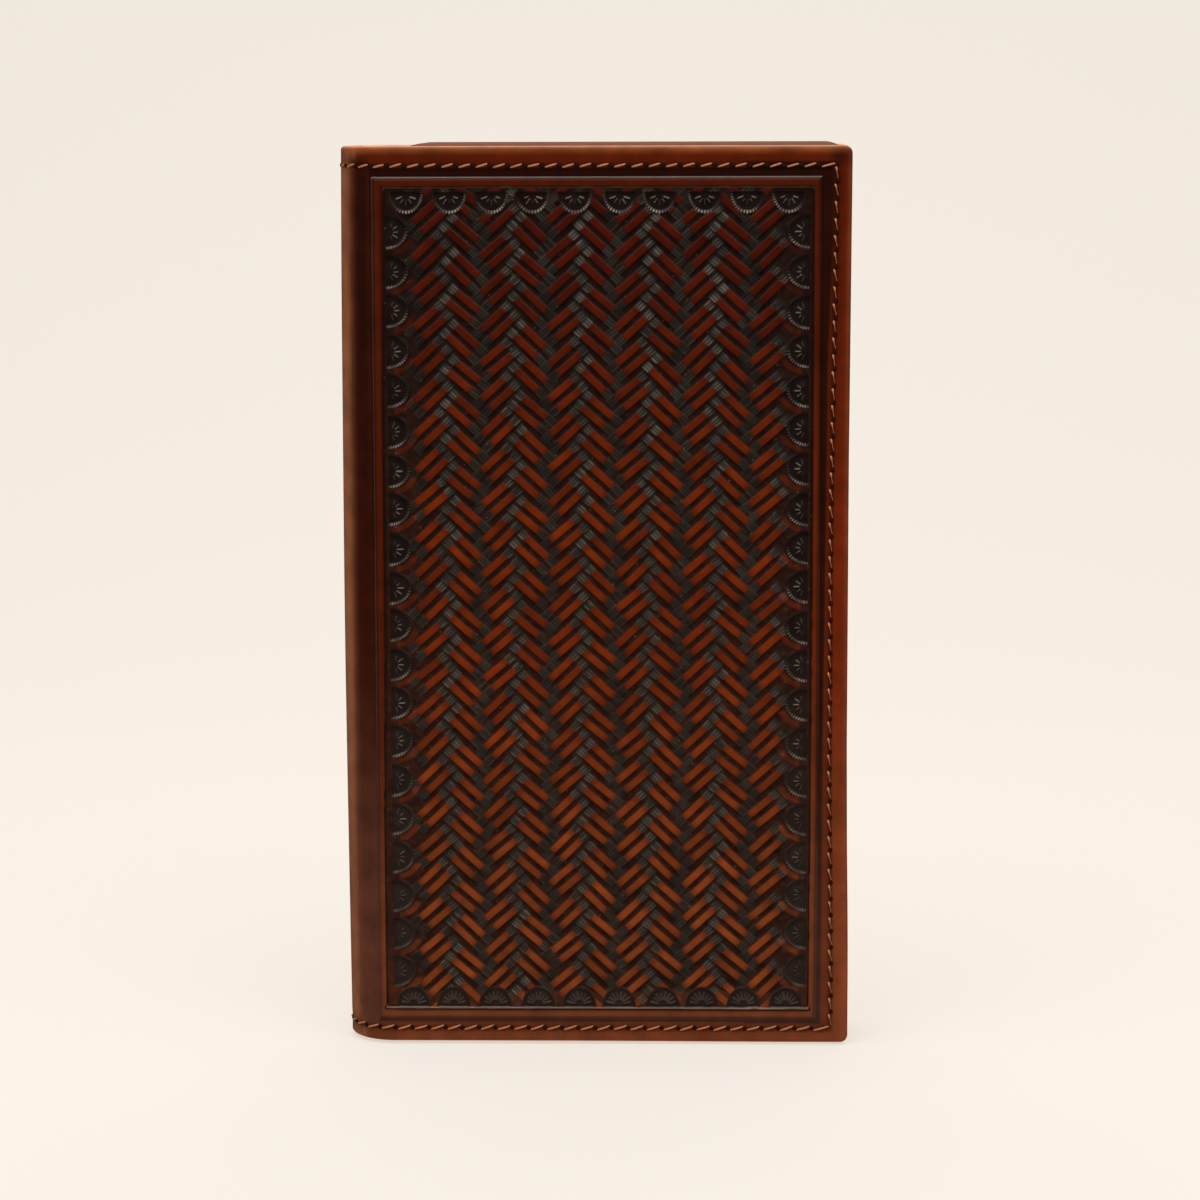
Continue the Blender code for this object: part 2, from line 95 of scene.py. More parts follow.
# Tooled frame, as distances from a cover's edges
RIM_FREE = 5.65
RIM_SPINE = 92.3
RIM_TOP = 6.3
RIM_BOTTOM = 4.9
RIM_WIDTH = 1.9
SPINE_STRETCH = 0.5
TOP_STRETCH = 0.75
FREE_DRIFT = 0.45
RIM_DRIFT = 0.35
GROUND_FREE = 7.02
GROUND_SPINE = 89.95
SPINE_GROWTH = ((0.75, 175, 120), (0.5, 90, 40))
GROUND_TOP = 8.2
GROUND_BOTTOM = 7.05
GROUND_LINE = 0.12

# Stitches. A row is (level, slant, start, end, size of hole), a kind (dive, lift, radius)
STITCH_FREE = 3.5
STITCH_SHIFT = (0.5, 95, 150)
STITCH_TOP = 3.98
STITCH_BOTTOM = 2.8
STITCH_PITCH = 3.3
TOP_SEAM = HEIGHT - STITCH_TOP
BOTTOM_SEAM = STITCH_BOTTOM + 0.2
SEAM_ROWS = (
    (TOP_SEAM, 0.3, 0.7, 0.35, (0.62, 0.48)),
    (BOTTOM_SEAM, 0.4, 0.42, 0.25, (0.5, 0.42)),
)
SIDE_LEAN = 0.28
SIDE_ENDS = (0.35, 0.5)
SIDE_HOLE = (0.4, 0.45)
LAID = (0.0, 0.10, 0.20)
DIVING = (1.0, 0.20, 0.23)
TUBE_TURN = np.linspace(0, 2 * math.pi, 8, endpoint=False)[:, None]
TUBE_FLATNESS = 0.85
HOLE_RINGS = ((0.02, 0.05), (0.55, 0.04), (0.9, 0.0), (1.0, -0.12))
PANEL_SEAM_END = -34.0
PANEL_LEAN = 0.22
SLOT_SEAM = (2.9, 0.18)
WINDOW_SEAM = (2.4, 0.12)
WINDOW_INSET = (2.3, 4.4)

# Basketweave. A set of straps is (offset in cells, way it tilts, reach in cells, brightness of the
# painted highlight on its ribs)
CELL = (13.05, 6.88)
ORIGIN = (0.75, 84.7)
WEAVE_ANGLE = math.radians(42)
STRAP_SETS = ((0.0, -1.0, 2.2, 1.0), (0.5, 1.0, 2.7, 0.7))
PLACE_JITTER = 0.3
TILT_JITTER = 0.09
BAR_HALF = 2.95
BAR_OFFSET = 1.23
BAR_WIDTH = 0.80
BAR_SIDE = (0.82, 1.08)
BAR_END = (BAR_HALF - 0.25, BAR_HALF + 0.12)
BAR_ROUNDING = 0.12
BAR_LEVEL = (-0.17, 0.05)
CORE_SIDE = (0.62, 1.05)
CORE_FADE = (0.45, 1.2, BAR_HALF)
BLOCK_START = (BAR_HALF - 0.2, BAR_HALF + 0.1)
BLOCK_END = (4.75, 5.1)
BLOCK_SIDE = (1.95, 2.15)
BLOCK_MIDDLE = (0.18, 0.42)
BLOCK_LEVEL = (-0.20, -0.30, -0.10)
BLOCK_SLOPE = 1.7
BED_SIDE = (1.9, 2.2)
BED_END = (4.6, 5.2)
BED_RISE = 0.14
FLOOR = -0.66
STRAP_LEVEL = -0.3
BORDER_LEVEL = -0.26
RIB_PITCH = 0.60
# Painted highlight on the ribs of the end blocks: full at a strap's upper end, weak at its lower
# end as if in shade
RIB_END = (3.9, 4.7)
RIB_SHADED = 0.3
RIB_HIGHLIGHT = (0.12, 0.42)
RIB_BRIGHT = (0.42, 0.62)
RIB_UNEVEN = (0.35, 1.3)

# Half-moons. Rays are (count, width, power, power of the arc, longest, least brightness); the
# powers and the brightness are those of the painted highlights on the rays and the arc's ticks
MOON = (3.35, 4.2)
MOON_LEFT = FREE_X - GROUND_SPINE + 0.35
MOON_RIGHT = FREE_X - GROUND_FREE - 1.03
MOON_BOTTOM = GROUND_BOTTOM + 0.05
MOON_TOP = HEIGHT - GROUND_TOP - 0.9
MOON_RAYS = (5, 0.10, 0.75, 0.9, 1.95, 0.0)
LOW_RAYS = (8, 0.24, 0.08, 0.08, 2.6, 0.7)
MOON_HUB = 0.6
MOON_TICKS = 20
MOON_EDGE = (0.98, 1.05)
MOON_FLAT = (-0.15, 0.1)
TICK_BAND = (0.86, 0.96, 0.03)
RAY_START = 0.95
ARC_HIGHLIGHT = (0.05, 0.95)
ARC_PATCHES = (0.75, 0.4)
MOON_BOWL = (0.84, 0.98)
MOON_KNOB = (0.3, 0.7)
MOON_LEVEL = (-0.30, -0.42, 0.18, 0.26, 0.12)
SIDE_HIGHLIGHT = (0.25, 0.5)
SIDE_HIGHLIGHT_FROM = (14, 70)

# Colours, linear. Sets of three are for the top, the middle and the bottom of the cover. These and
# the colours for low on the cover get lighter and paler lower down: partly the leather's own tone,
# partly painted light bounced up from the floor
BAR = ((0.075, 0.0056, 0.0003), (0.182, 0.0212, 0.0002), (0.246, 0.0500, 0.0085))
MARGIN = ((0.150, 0.0155, 0.0008), (0.175, 0.0180, 0.0008), (0.205, 0.046, 0.0130))
BAR_EDGE = rgb(0.048, 0.0050, 0.0010)
RIM_COLOUR = rgb(0.125, 0.0140, 0.0008)
RIM_LOW = rgb(0.170, 0.0420, 0.0130)
ANTIQUE = rgb(0.0120, 0.0034, 0.0013)
GRIME = rgb(0.0210, 0.0140, 0.0095)
MOON_DARK = rgb(0.0115, 0.0050, 0.0038)
MOON_LOW = rgb(0.0300, 0.0175, 0.0135)
# Painted highlight along the cover's top edge
HIGHLIGHT_AT_TOP = rgb(0.360, 0.110, 0.030)
# Painted shade in the groove outside the rim and along the seams
MARGIN_SHADE = rgb(0.050, 0.006, 0.001)
MARGIN_RIM = rgb(0.230, 0.062, 0.024)
SPINE_DARK = rgb(0.040, 0.0045, 0.0010)
SPINE_LOW = rgb(0.125, 0.0390, 0.0200)
# Painted highlight on the rounded spine
SPINE_HIGHLIGHT = rgb(0.300, 0.105, 0.044)
# Painted reflection of the bright surroundings on the spine's middle
SPINE_REFLECTION = rgb(0.250, 0.110, 0.068)
# Grey of the painted highlights on the ribs and of the painted glints
GREY_HIGHLIGHT = rgb(0.138, 0.125, 0.096)
BLOCK_TOP = rgb(0.0105, 0.0080, 0.0058)
BLOCK_LOW = rgb(0.0222, 0.0161, 0.0115)
DARK_TOP = rgb(1.00, 0.74, 0.66)
DARK_LOW = rgb(2.25, 1.55, 1.30)
PASTE_LOW = rgb(0.060, 0.025, 0.017)
# Colour of painted highlights: the rim's outer edge, the panel's lower wall and the half-moons
PAINTED_HIGHLIGHT = rgb(0.50, 0.42, 0.32)
# Cut edges: partly their own light colour, partly painted highlight
CUT_EDGE_AND_HIGHLIGHT = rgb(0.72, 0.28, 0.12)
THREAD = (0.50, 0.175, 0.065)
# Painted shade inside the stitch holes
HOLE = (0.020, 0.0035, 0.0012, 1.0)
WINDOW = (0.30, 0.31, 0.31, 1.0)
BURNISHED = (0.34, 0.17, 0.115, 1.0)

# Shares of a tone: a constant, and one for each noise or mask that follows
BAR_TONE = (0.58, 0.36, 0.22)
MARGIN_TONE = (0.80, 0.2, 0.16)
HIGHLIGHT_TONE = (0.2, 0.7)
DARK_TONE = (0.6, 0.9)
BLOCK_TONE = (0.5, 1.0)
PATCH_TONE = (0.25, 0.5)
UNDER_TONE = (0.45, 0.45)
MOON_TONE = (0.7, 0.6, 1.7)
SILL_TONE = (0.10, 0.32)

# Where the leather changes up the cover, between two heights
TO_MIDDLE = (165, 95)
TO_BOTTOM = (90, 10)
DARK_CHANGE = (165, 50)
MOON_CHANGE = (0.8, 110, 25)
BOTTOM_MOONS = (14, 10)
BOTTOM_PATCHES = (22, 14)
PASTE_CHANGE = (75, 8.0)
DEEP_PASTE = (60, 140)
ABOVE_SEAM = (HEIGHT - 5.0, HEIGHT - 3.4)
BY_TOP_SEAM = (HEIGHT - 5.2, HEIGHT - 4.6)
HIGHLIGHT_HEIGHTS = (HEIGHT - 2.2, HEIGHT - 0.5)
TOP_RIM = (HEIGHT - 11, HEIGHT - 8.0)
TOP_BAND = (1.2, HEIGHT - 8.0, HEIGHT - 6.0)
RIM_RIGHT = (112, 142)
RIM_LEFT = (15, 60)

# Leather that bends and leather of the stiff inner pieces
GRAIN = 260.0
BROAD_GRAIN = GRAIN / 14
WAXED_ROUGHNESS = 0.62
CREASE = 1.0 - 1.6 / SLOT_DEPTH
CREASE_WIDTH = (0.1 / SLOT_DEPTH, 0.35 / SLOT_DEPTH)
BURNISH = ((HEIGHT - 0.6) * MM, (HEIGHT - 0.1) * MM)

# Backdrop, and the camera fitted to the photograph: metres, pixels and degrees
SWEEP_START, SWEEP_BEND = 0.35, 0.5
FOCAL = 3505.2
PHOTO_WIDTH = 1200.0
SENSOR = 36.0
DISTANCE = 0.68801
LEVEL = 0.188
SHIFT = 0.00081
PITCH, ROLL, YAW = 8.292, 0.172, 1.253

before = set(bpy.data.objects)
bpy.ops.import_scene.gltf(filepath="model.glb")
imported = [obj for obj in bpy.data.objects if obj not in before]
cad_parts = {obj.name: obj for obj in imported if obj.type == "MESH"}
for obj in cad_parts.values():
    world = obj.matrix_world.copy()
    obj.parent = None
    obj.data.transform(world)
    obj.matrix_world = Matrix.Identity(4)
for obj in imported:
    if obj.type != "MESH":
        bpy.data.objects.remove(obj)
RNG = np.random.default_rng(7)


def step(low, high, value):
    """Smooth rise from nought at low to one at high."""
    share = np.clip((value - low) / (high - low), 0.0, 1.0)
    return share * share * (3.0 - 2.0 * share)


def fade(low, high, value):
    """Smooth fall from one at low to nought at high."""
    return 1.0 - step(low, high, value)


def ramp(change, value):
    """Amount that grows smoothly between two values."""
    amount, low, high = change
    return amount * step(low, high, value)


def between(low, high, soft, value):
    """One inside a range of values, falling to nought over a soft edge."""
    return step(low - soft, low, value) * fade(high, high + soft, value)


def mix(first, second, share):
    return first + (second - first) * share


def weigh(shares, *values):
    """First share, plus each other share of a value."""
    total = shares[0]
    for share, value in zip(shares[1:], values):
        total = total + share * value
    return total


def wobble(a, b, scale, seed):
    """Smooth noise from -1 to 1 made of a few slanted waves."""
    waves = 5
    total = 0.0
    for number in range(waves):
        angle = seed * 1.7 + number * 2.399
        rate = (1.0 + 0.37 * number) / scale
        phase = seed * 5.1 + number * 1.3
        total = total + np.sin((a * math.cos(angle) + b * math.sin(angle)) * rate + phase)
    return total / waves


def cell_random(i, j, seed):
    """Repeatable random number from 0 to 1 for a cell."""
    value = np.sin(i * 12.9898 + j * 78.233 + seed * 37.719) * 43758.5453
    return value - np.floor(value)


def outside(s, depth):
    """Position in X and Y of a place along the outside, a depth under it."""
    angle = math.pi / 2 + np.clip((s - FLAT) / RADIUS, 0.0, math.pi)
    radius = RADIUS - depth
    along = np.maximum(FLAT - s, 0.0) + np.maximum(s - FLAT - ARC, 0.0)
    return FOLD_X + radius * np.cos(angle) + along, radius * np.sin(angle)


def bulge(s, z):
    """How far the fold bows out to the side between the wallet's ends."""
    angle = np.clip((s - FLAT) / RADIUS, 0.0, math.pi)
    return BOW * np.sin(angle) ** 2 * np.sin(math.pi * np.clip(z / HEIGHT, 0.0, 1.0))


def flare(s, z):
    """How far the free edges spread near the wallet's top and bottom corners."""
    across = fade(*FLARE_ACROSS, np.minimum(s, TOTAL - s))
    return (ramp(FLARE_TOP, z) + ramp(FLARE_BOTTOM, z)) * across


def strap(a, b):
    """Height, bar, its bright core, painted highlight on its ribs and dark block of one strap.

    Here a runs along the strap, with its upper end positive, and b across it.
    """
    length = np.abs(a)
    width = np.abs(b)
    side = (width - BAR_OFFSET) / BAR_WIDTH
    bar = fade(*BAR_SIDE, np.abs(side))
    bar = bar * fade(*BAR_END, length + BAR_ROUNDING * side ** 4)
    core = fade(*CORE_SIDE, np.abs(side)) * (1.0 - ramp(CORE_FADE, length))
    block = step(*BLOCK_START, length) * fade(*BLOCK_END, length)
    block = block * fade(*BLOCK_SIDE, width) * step(*BLOCK_MIDDLE, width)
    ribs = 0.5 + 0.5 * np.cos(2 * math.pi * b / RIB_PITCH)
    height = FLOOR + BED_RISE * fade(*BED_SIDE, width) * fade(*BED_END, length)
    way_down = np.clip((length - BAR_HALF) / BLOCK_SLOPE, 0.0, 1.0)
    height = mix(height, weigh(BLOCK_LEVEL, way_down, 1.0 - ribs), block)
    height = mix(height, weigh(BAR_LEVEL, 1.0 - side ** 2), bar)
    # Painted highlight: ribs at the upper end are lit, those at the lower end are painted as
    # shaded
    lit = np.where(a > 0, fade(*RIB_END, length), RIB_SHADED)
    highlight_mask = block * weigh(RIB_HIGHLIGHT, ribs ** 2) * lit
    return height, bar, core * bar, highlight_mask, block * (1.0 - bar)


def weave(x, z):
    """Height, bar, core, painted highlight on the ribs, dark block and tone of the uppermost
    strap.
    """
    kept = [np.full(x.shape, FLOOR)] + [np.zeros(x.shape) for _ in range(5)]
    for half, sign, reach, brightness in STRAP_SETS:
        i = np.round((x - ORIGIN[0]) / CELL[0] - half) + half
        for shift in (-1, 0, 1):
            j = np.round((z - ORIGIN[1]) / CELL[1] - half) + half + shift
            moved_x, moved_z, turned = (cell_random(i, j, n + half) - 0.5 for n in (1, 2, 3))
            tilt = sign * WEAVE_ANGLE + turned * TILT_JITTER
            dx = x - ORIGIN[0] - i * CELL[0] - moved_x * PLACE_JITTER
            dz = z - ORIGIN[1] - j * CELL[1] - moved_z * PLACE_JITTER
            a = dx * np.cos(tilt) + dz * np.sin(tilt)
            b = dz * np.cos(tilt) - dx * np.sin(tilt)
            height, bar, core, highlight_mask, block = strap(sign * a, b)
            bright = brightness * weigh(RIB_BRIGHT, cell_random(i, j, 4 + half) ** 2)
            rib = i + 0.37 * np.round(b / RIB_PITCH)
            uneven = weigh(RIB_UNEVEN, cell_random(rib, j, 6 + half))
            tone = cell_random(i, j, 5 + half + np.sign(b))
            found = (height, bar, core, highlight_mask * bright * uneven, block, tone)
            keep = (np.abs(i) < reach) & (height > kept[0])
            kept = [np.where(keep, new, old) for new, old in zip(found, kept)]
    return kept


def half_moon(p, q, lean, up, rays, seed):
    """Height, painted highlight and footprint of a half-moon stamp with its flat side on q = 0."""
    count, width, power, edge_power, longest, least = rays
    radius = np.hypot(p / MOON[0], q / MOON[1])
    angle = np.arctan2(q, p)
    foot = fade(*MOON_EDGE, radius) * step(*MOON_FLAT, q)
    ticks = (0.5 + 0.5 * np.cos(2 * MOON_TICKS * angle)) ** 2 * between(*TICK_BAND, radius)
    # Painted highlight on the ticks of the arc that face the light
    inward = -(np.cos(angle) * lean[0] + np.sin(angle) * lean[1])
    patchy = weigh(ARC_PATCHES, np.sin(angle * 5.0 + seed * 9.0))
    shine = edge_power * ticks * weigh(ARC_HIGHLIGHT, np.clip(inward, 0.0, 1.0) ** 1.8) * patchy
    spokes = np.zeros(p.shape)
    for number in range(count):
        way = math.pi * (number + 0.5) / count
        along = p * math.cos(way) + (q - MOON_HUB) * math.sin(way)
        across = (q - MOON_HUB) * math.cos(way) - p * math.sin(way)
        chance = float(cell_random(number, seed, 11))
        reach = longest - 0.5 * (1.0 - chance)
        ray = fade(0.4 * width, 1.3 * width, np.abs(across))
        ray = ray * between(RAY_START, reach, 0.2, along)
        # Rays that run across the light get a stronger painted highlight
        upright = math.cos(way) * up[0] + math.sin(way) * up[1]
        level = max(1.0 - upright ** 2, least)
        bright = power * (0.15 + 0.95 * level) * (0.55 + 0.6 * chance)
        shine = np.maximum(shine, ray * bright)
        spokes = np.maximum(spokes, ray)
    masks = (fade(*MOON_BOWL, radius), ticks, spokes, fade(*MOON_KNOB, radius))
    return weigh(MOON_LEVEL, *masks), shine, foot


def moon_places():
    """Middle of the flat side and the way out of every half-moon."""
    places = []
    for x in np.linspace(MOON_LEFT + 3.8, MOON_RIGHT - 3.8, 10):
        jitter = RNG.uniform(-0.3, 0.3)
        places.append((x + jitter, MOON_TOP, 0, -1))
        places.append((x - jitter, MOON_BOTTOM, 0, 1))
    for z in np.linspace(MOON_BOTTOM + 7.4, MOON_TOP - 7.6, 20):
        jitter = RNG.uniform(-0.25, 0.25)
        places.append((MOON_LEFT, z + jitter, 1, 0))
        places.append((MOON_RIGHT, z - jitter, -1, 0))
    return places


def moons(x, z, places):
    """Height, painted highlight, footprint and fringe of all half-moons."""
    height = np.full(x.shape, FLOOR)
    shine, foot, under = (np.zeros(x.shape) for _ in range(3))
    for number, (cx, cz, out_x, out_z) in enumerate(places):
        near = (np.abs(x - cx) < 6.0) & (np.abs(z - cz) < 6.0)
        dx, dz = x[near] - cx, z[near] - cz
        q = dx * out_x + dz * out_z
        p = dx * out_z - dz * out_x
        # Way towards the light, for the painted highlights
        light_way = (0.4 if cx > 0 else -0.4, 0.9)
        lean = (light_way[0] * out_z - light_way[1] * out_x, light_way[0] * out_x + light_way[1] * out_z)
        rays = LOW_RAYS if out_z > 0 else MOON_RAYS
        own_height, own_shine, own_foot = half_moon(p, q, lean, (-out_x, out_z), rays, number)
        if out_x != 0:
            radius = np.hypot(p / MOON[0], q / MOON[1])
            fringe = between(1.10, 1.32, 0.1, radius) * step(0.9, 1.7, -dz) * step(1.0, 1.7, q)
            # Side moons get less painted highlight lower down
            own_shine = own_shine * weigh(SIDE_HIGHLIGHT, step(*SIDE_HIGHLIGHT_FROM, cz))
            under[near] = np.maximum(under[near], fringe)
        better = own_foot > foot[near]
        for target, value in ((height, own_height), (shine, own_shine), (foot, own_foot)):
            target[near] = np.where(better, value, target[near])
    return height, shine, foot, under


def edge_distances(u, z):
    """How far a place is inside the ground and inside the outer line of the frame."""
    drift = 1.0 - z / HEIGHT
    free = u - FREE_DRIFT * drift ** 3
    spine = GROUND_SPINE + ramp(SPINE_GROWTH[0], z) + ramp(SPINE_GROWTH[1], z)
    inside = np.minimum(free - GROUND_FREE, spine - u)
    ground = np.minimum(inside, np.minimum(z - GROUND_BOTTOM, HEIGHT - GROUND_TOP - z))
    outer = np.minimum(free - RIM_FREE, z - RIM_BOTTOM)
    by_spine = RIM_SPINE + RIM_DRIFT * drift - u
    for inside, stretch in ((by_spine, SPINE_STRETCH), (HEIGHT - RIM_TOP - z, TOP_STRETCH)):
        outer = np.minimum(outer, np.where(inside < 0, stretch * inside, inside))
    return ground, outer


def seam_free(z):
    """Distance of the stitches from the free edge, less near the top."""
    return STITCH_FREE - ramp(STITCH_SHIFT, z)


def seam_distance(u, z):
    """How far a place is from the line of stitches."""
    free = seam_free(z)
    line = np.minimum(np.abs(z - TOP_SEAM), np.abs(z - BOTTOM_SEAM))
    inside = (z < TOP_SEAM) & (z > STITCH_BOTTOM)
    line = np.where(u < free, np.hypot(line, free - u), line)
    return np.where(inside, np.minimum(line, np.abs(u - free)), line)


def tooling(u, z, places):
    """Height of the outside over its smooth surface, colour of the leather and its paste."""
    at = SimpleNamespace(u=u, x=FREE_X - u, z=z)
    at.ground, at.outer = edge_distances(u, z)
    weave_height, at.red, at.core, at.rib, at.block, at.tone = weave(at.x, z)
    moon_height, at.shine, at.foot, at.under = moons(at.x, z, places)
    border = fade(2.6, 3.9, at.ground)
    at.patch = border * fade(0.3, 0.8, at.red) * (0.2 + 0.8 * step(*BOTTOM_PATCHES, z))
    smooth = mix(weave_height, BORDER_LEVEL, border * (1.0 - at.red))
    field = np.where(weave_height > STRAP_LEVEL, weave_height, smooth)
    field = mix(field, moon_height, at.foot)
    line = fade(0.0, 0.35, np.abs(at.ground - GROUND_LINE))
    at.inside = step(-0.14, 0.14, at.ground)
    rim = step(-0.22, 0.22, at.outer) * (1.0 - at.inside)
    groove = between(-1.1, -0.25, 0.9, at.outer)
    at.seam = fade(0.15, 0.8, seam_distance(u, z))
    height = mix(-0.33 * groove - 0.09 * at.seam, field - 0.12 * line, at.inside)
    middle = 0.5 * np.abs(at.ground + at.outer) / RIM_WIDTH
    height = height + 0.07 * rim * (1.0 - 0.5 * np.clip(middle, 0, 1) ** 2)
    waxed = at.inside * fade(0.6, 1.0, at.red)
    return height, leather_colour(at), waxed


def layer(colour, *overs):
    """Colour with others laid over it one after another, each by a share."""
    for over, share in overs:
        colour = mix(colour, over, np.clip(share, 0.0, 1.0)[..., None])
    return colour


def noise(at, scale, seed):
    return 0.5 + 0.5 * wobble(at.x, at.z, scale, seed)


def graded(colours, at):
    """Colour that changes from the top of the cover by its middle to its bottom, lighter lower
    down partly as painted bounce light.
    """
    top, middle, bottom = np.array(colours)
    return layer(top, (middle, at.lower), (bottom, at.lowest))


def margin_colour(at):
    """Smooth leather outside the frame, with a painted highlight and a painted reflection on the
    spine, painted shade beside the seams and a painted highlight along the top edge.
    """
    u, z = at.u, at.z
    # Painted highlight on the rounded spine
    spine_highlight = 0.85 * step(RIM_SPINE + 3.0, RIM_SPINE + 4.4, u)
    margin = layer(graded(MARGIN, at), (SPINE_HIGHLIGHT, spine_highlight))
    # Painted reflection of the bright surroundings along the middle of the spine
    margin = layer(margin, (SPINE_REFLECTION, 0.7 * step(99.8, 102.4, u)))
    # Painted shade beside the free edge's seam, stronger higher up, and a little under the bottom
    # seam
    side = step(0.3, 2.4, u) * fade(3.0, 5.0, u) * (0.03 + 0.47 * step(60.0, 175.0, z))
    under_seam = step(0.3, 2.2, z) * fade(2.6, 3.4, z) * step(4.0, 8.0, u)
    margin = margin * (1.0 - np.maximum(side, 0.12 * under_seam))[..., None]
    margin = margin * (1.0 + 0.25 * fade(0.4, 3.0, u) * at.lowest)[..., None]
    margin = layer(margin, (MARGIN_RIM, 0.5 * fade(0.3, 1.1, np.minimum(u, z))))
    margin = margin * weigh(MARGIN_TONE, noise(at, 14.0, 3), at.mottle)[..., None]
    margin = margin * (1.0 - 0.3 * step(*ABOVE_SEAM, z))[..., None]
    # Painted highlight along the top edge
    return layer(margin, (HIGHLIGHT_AT_TOP, weigh(HIGHLIGHT_TONE, at.mottle) * step(*HIGHLIGHT_HEIGHTS, z)))


def field_colour(at):
    """Sunk panel: red bars over paste with painted highlights on the ribs and painted glints, and
    half-moons with painted highlights on their ticks and rays.
    """
    speck, z = at.speck, at.z
    down, low = step(*DARK_CHANGE, z), ramp(MOON_CHANGE, z)
    bar = graded(BAR, at) * weigh(BAR_TONE, at.tone, speck)[..., None]
    dark = ANTIQUE * weigh(DARK_TONE, speck)[..., None]
    dark = layer(dark, (GRIME, 0.8 * noise(at, 0.55, 15) ** 2))
    block = layer(BLOCK_TOP, (BLOCK_LOW, down)) * weigh(BLOCK_TONE, speck)[..., None]
    moon = MOON_DARK * weigh(MOON_TONE, speck, step(*BOTTOM_MOONS, z))[..., None]
    # Painted glints of light scattered over the dark ground
    glint = step(0.86, 0.97, noise(at, 0.33, 12)) * (1.0 - at.red)
    return layer(
        dark * layer(DARK_TOP, (DARK_LOW, down)),
        (block, 0.85 * at.block),
        (layer(ANTIQUE, (MOON_LOW, low)), fade(0.35, 0.7, at.ground)),
        (BAR_EDGE, at.red),
        (bar, at.core),
        (0.45 * bar, at.patch * weigh(PATCH_TONE, speck)),
        (0.9 * bar, at.under * weigh(UNDER_TONE, speck)),
        (GREY_HIGHLIGHT, 0.5 * glint),
        # Painted highlight on the ribs, stronger near the top
        (GREY_HIGHLIGHT * (1.6 - 0.4 * at.lower)[..., None], at.rib),
        (layer(moon, (MOON_LOW, low)), at.foot),
        # Painted highlight on the half-moons' ticks and rays
        (PAINTED_HIGHLIGHT, 0.8 * at.shine * at.foot),
    )


def rim_layer(at):
    """Raised rim round the panel, with painted shade along its sides, at the top and by the spine.
    """
    u, z = at.u, at.z
    rim = step(0.0, 0.3, at.outer) * (1.0 - at.inside)
    crest = fade(0.25, 1.0, np.abs(at.outer - 0.5 * RIM_WIDTH) / (0.5 * RIM_WIDTH))
    by_spine = step(RIM_SPINE - 4.0, RIM_SPINE - 2.0, u)
    # Painted shade at the top, by the spine and on the free side
    shaded = np.maximum(step(*TOP_RIM, z), 0.9 * by_spine * step(*RIM_LEFT, z))
    shaded = np.maximum(shaded, step(20.0, 10.0, u) * step(*RIM_RIGHT, z))
    tone = (1.0 - 0.4 * shaded) * mix(0.35 + 0.4 * by_spine * at.lowest, 1.0, crest)
    return layer(RIM_COLOUR, (RIM_LOW, at.lowest)) * tone[..., None], 0.95 * rim


def paste_layers(at):
    """Band of paste outside the rim: broad at the top and the spine, narrow at the bottom; and
    painted shade in the groove outside the rim.
    """
    u, z, outer = at.u, at.z, at.outer
    on_spine = step(RIM_SPINE + 0.2, RIM_SPINE + 1.0, u)
    reach = mix(0.75, 1.15, step(56.0, 130.0, z)) + 0.85 * step(130.0, 167.0, z)
    reach = np.maximum(np.where(u < 20, reach, 0.5), ramp(TOP_BAND, z))
    reach = mix(reach, 1.7, on_spine)
    soft = mix(0.5, 2.0, on_spine)
    band = step(-reach - soft, -reach, outer) * fade(-0.12, 0.43, outer) * (1.0 - at.inside)
    deep = between(-0.8 * reach, -0.35, 0.3, outer) * step(*DEEP_PASTE, z)
    paste = layer(
        ANTIQUE * (1.0 - 0.6 * deep)[..., None],
        (PASTE_LOW, step(*PASTE_CHANGE, z)),
        (layer(SPINE_DARK, (SPINE_LOW, at.lowest)), on_spine),
    )
    core_line = between(RIM_SPINE + 2.0, RIM_SPINE + 3.0, 0.9, u) * step(60.0, 165.0, z)
    # Painted shade in the groove outside the rim
    shade = between(-2.4, -0.6, 0.6, outer) * (1.0 - at.inside) * (0.4 - 0.25 * on_spine)
    return (
        (paste, band),
        (ANTIQUE, 0.8 * core_line * step(HEIGHT - 5.0, HEIGHT - 7.0, z)),
        (MARGIN_SHADE, shade * (1.0 - 0.6 * step(*BY_TOP_SEAM, z))),
    )


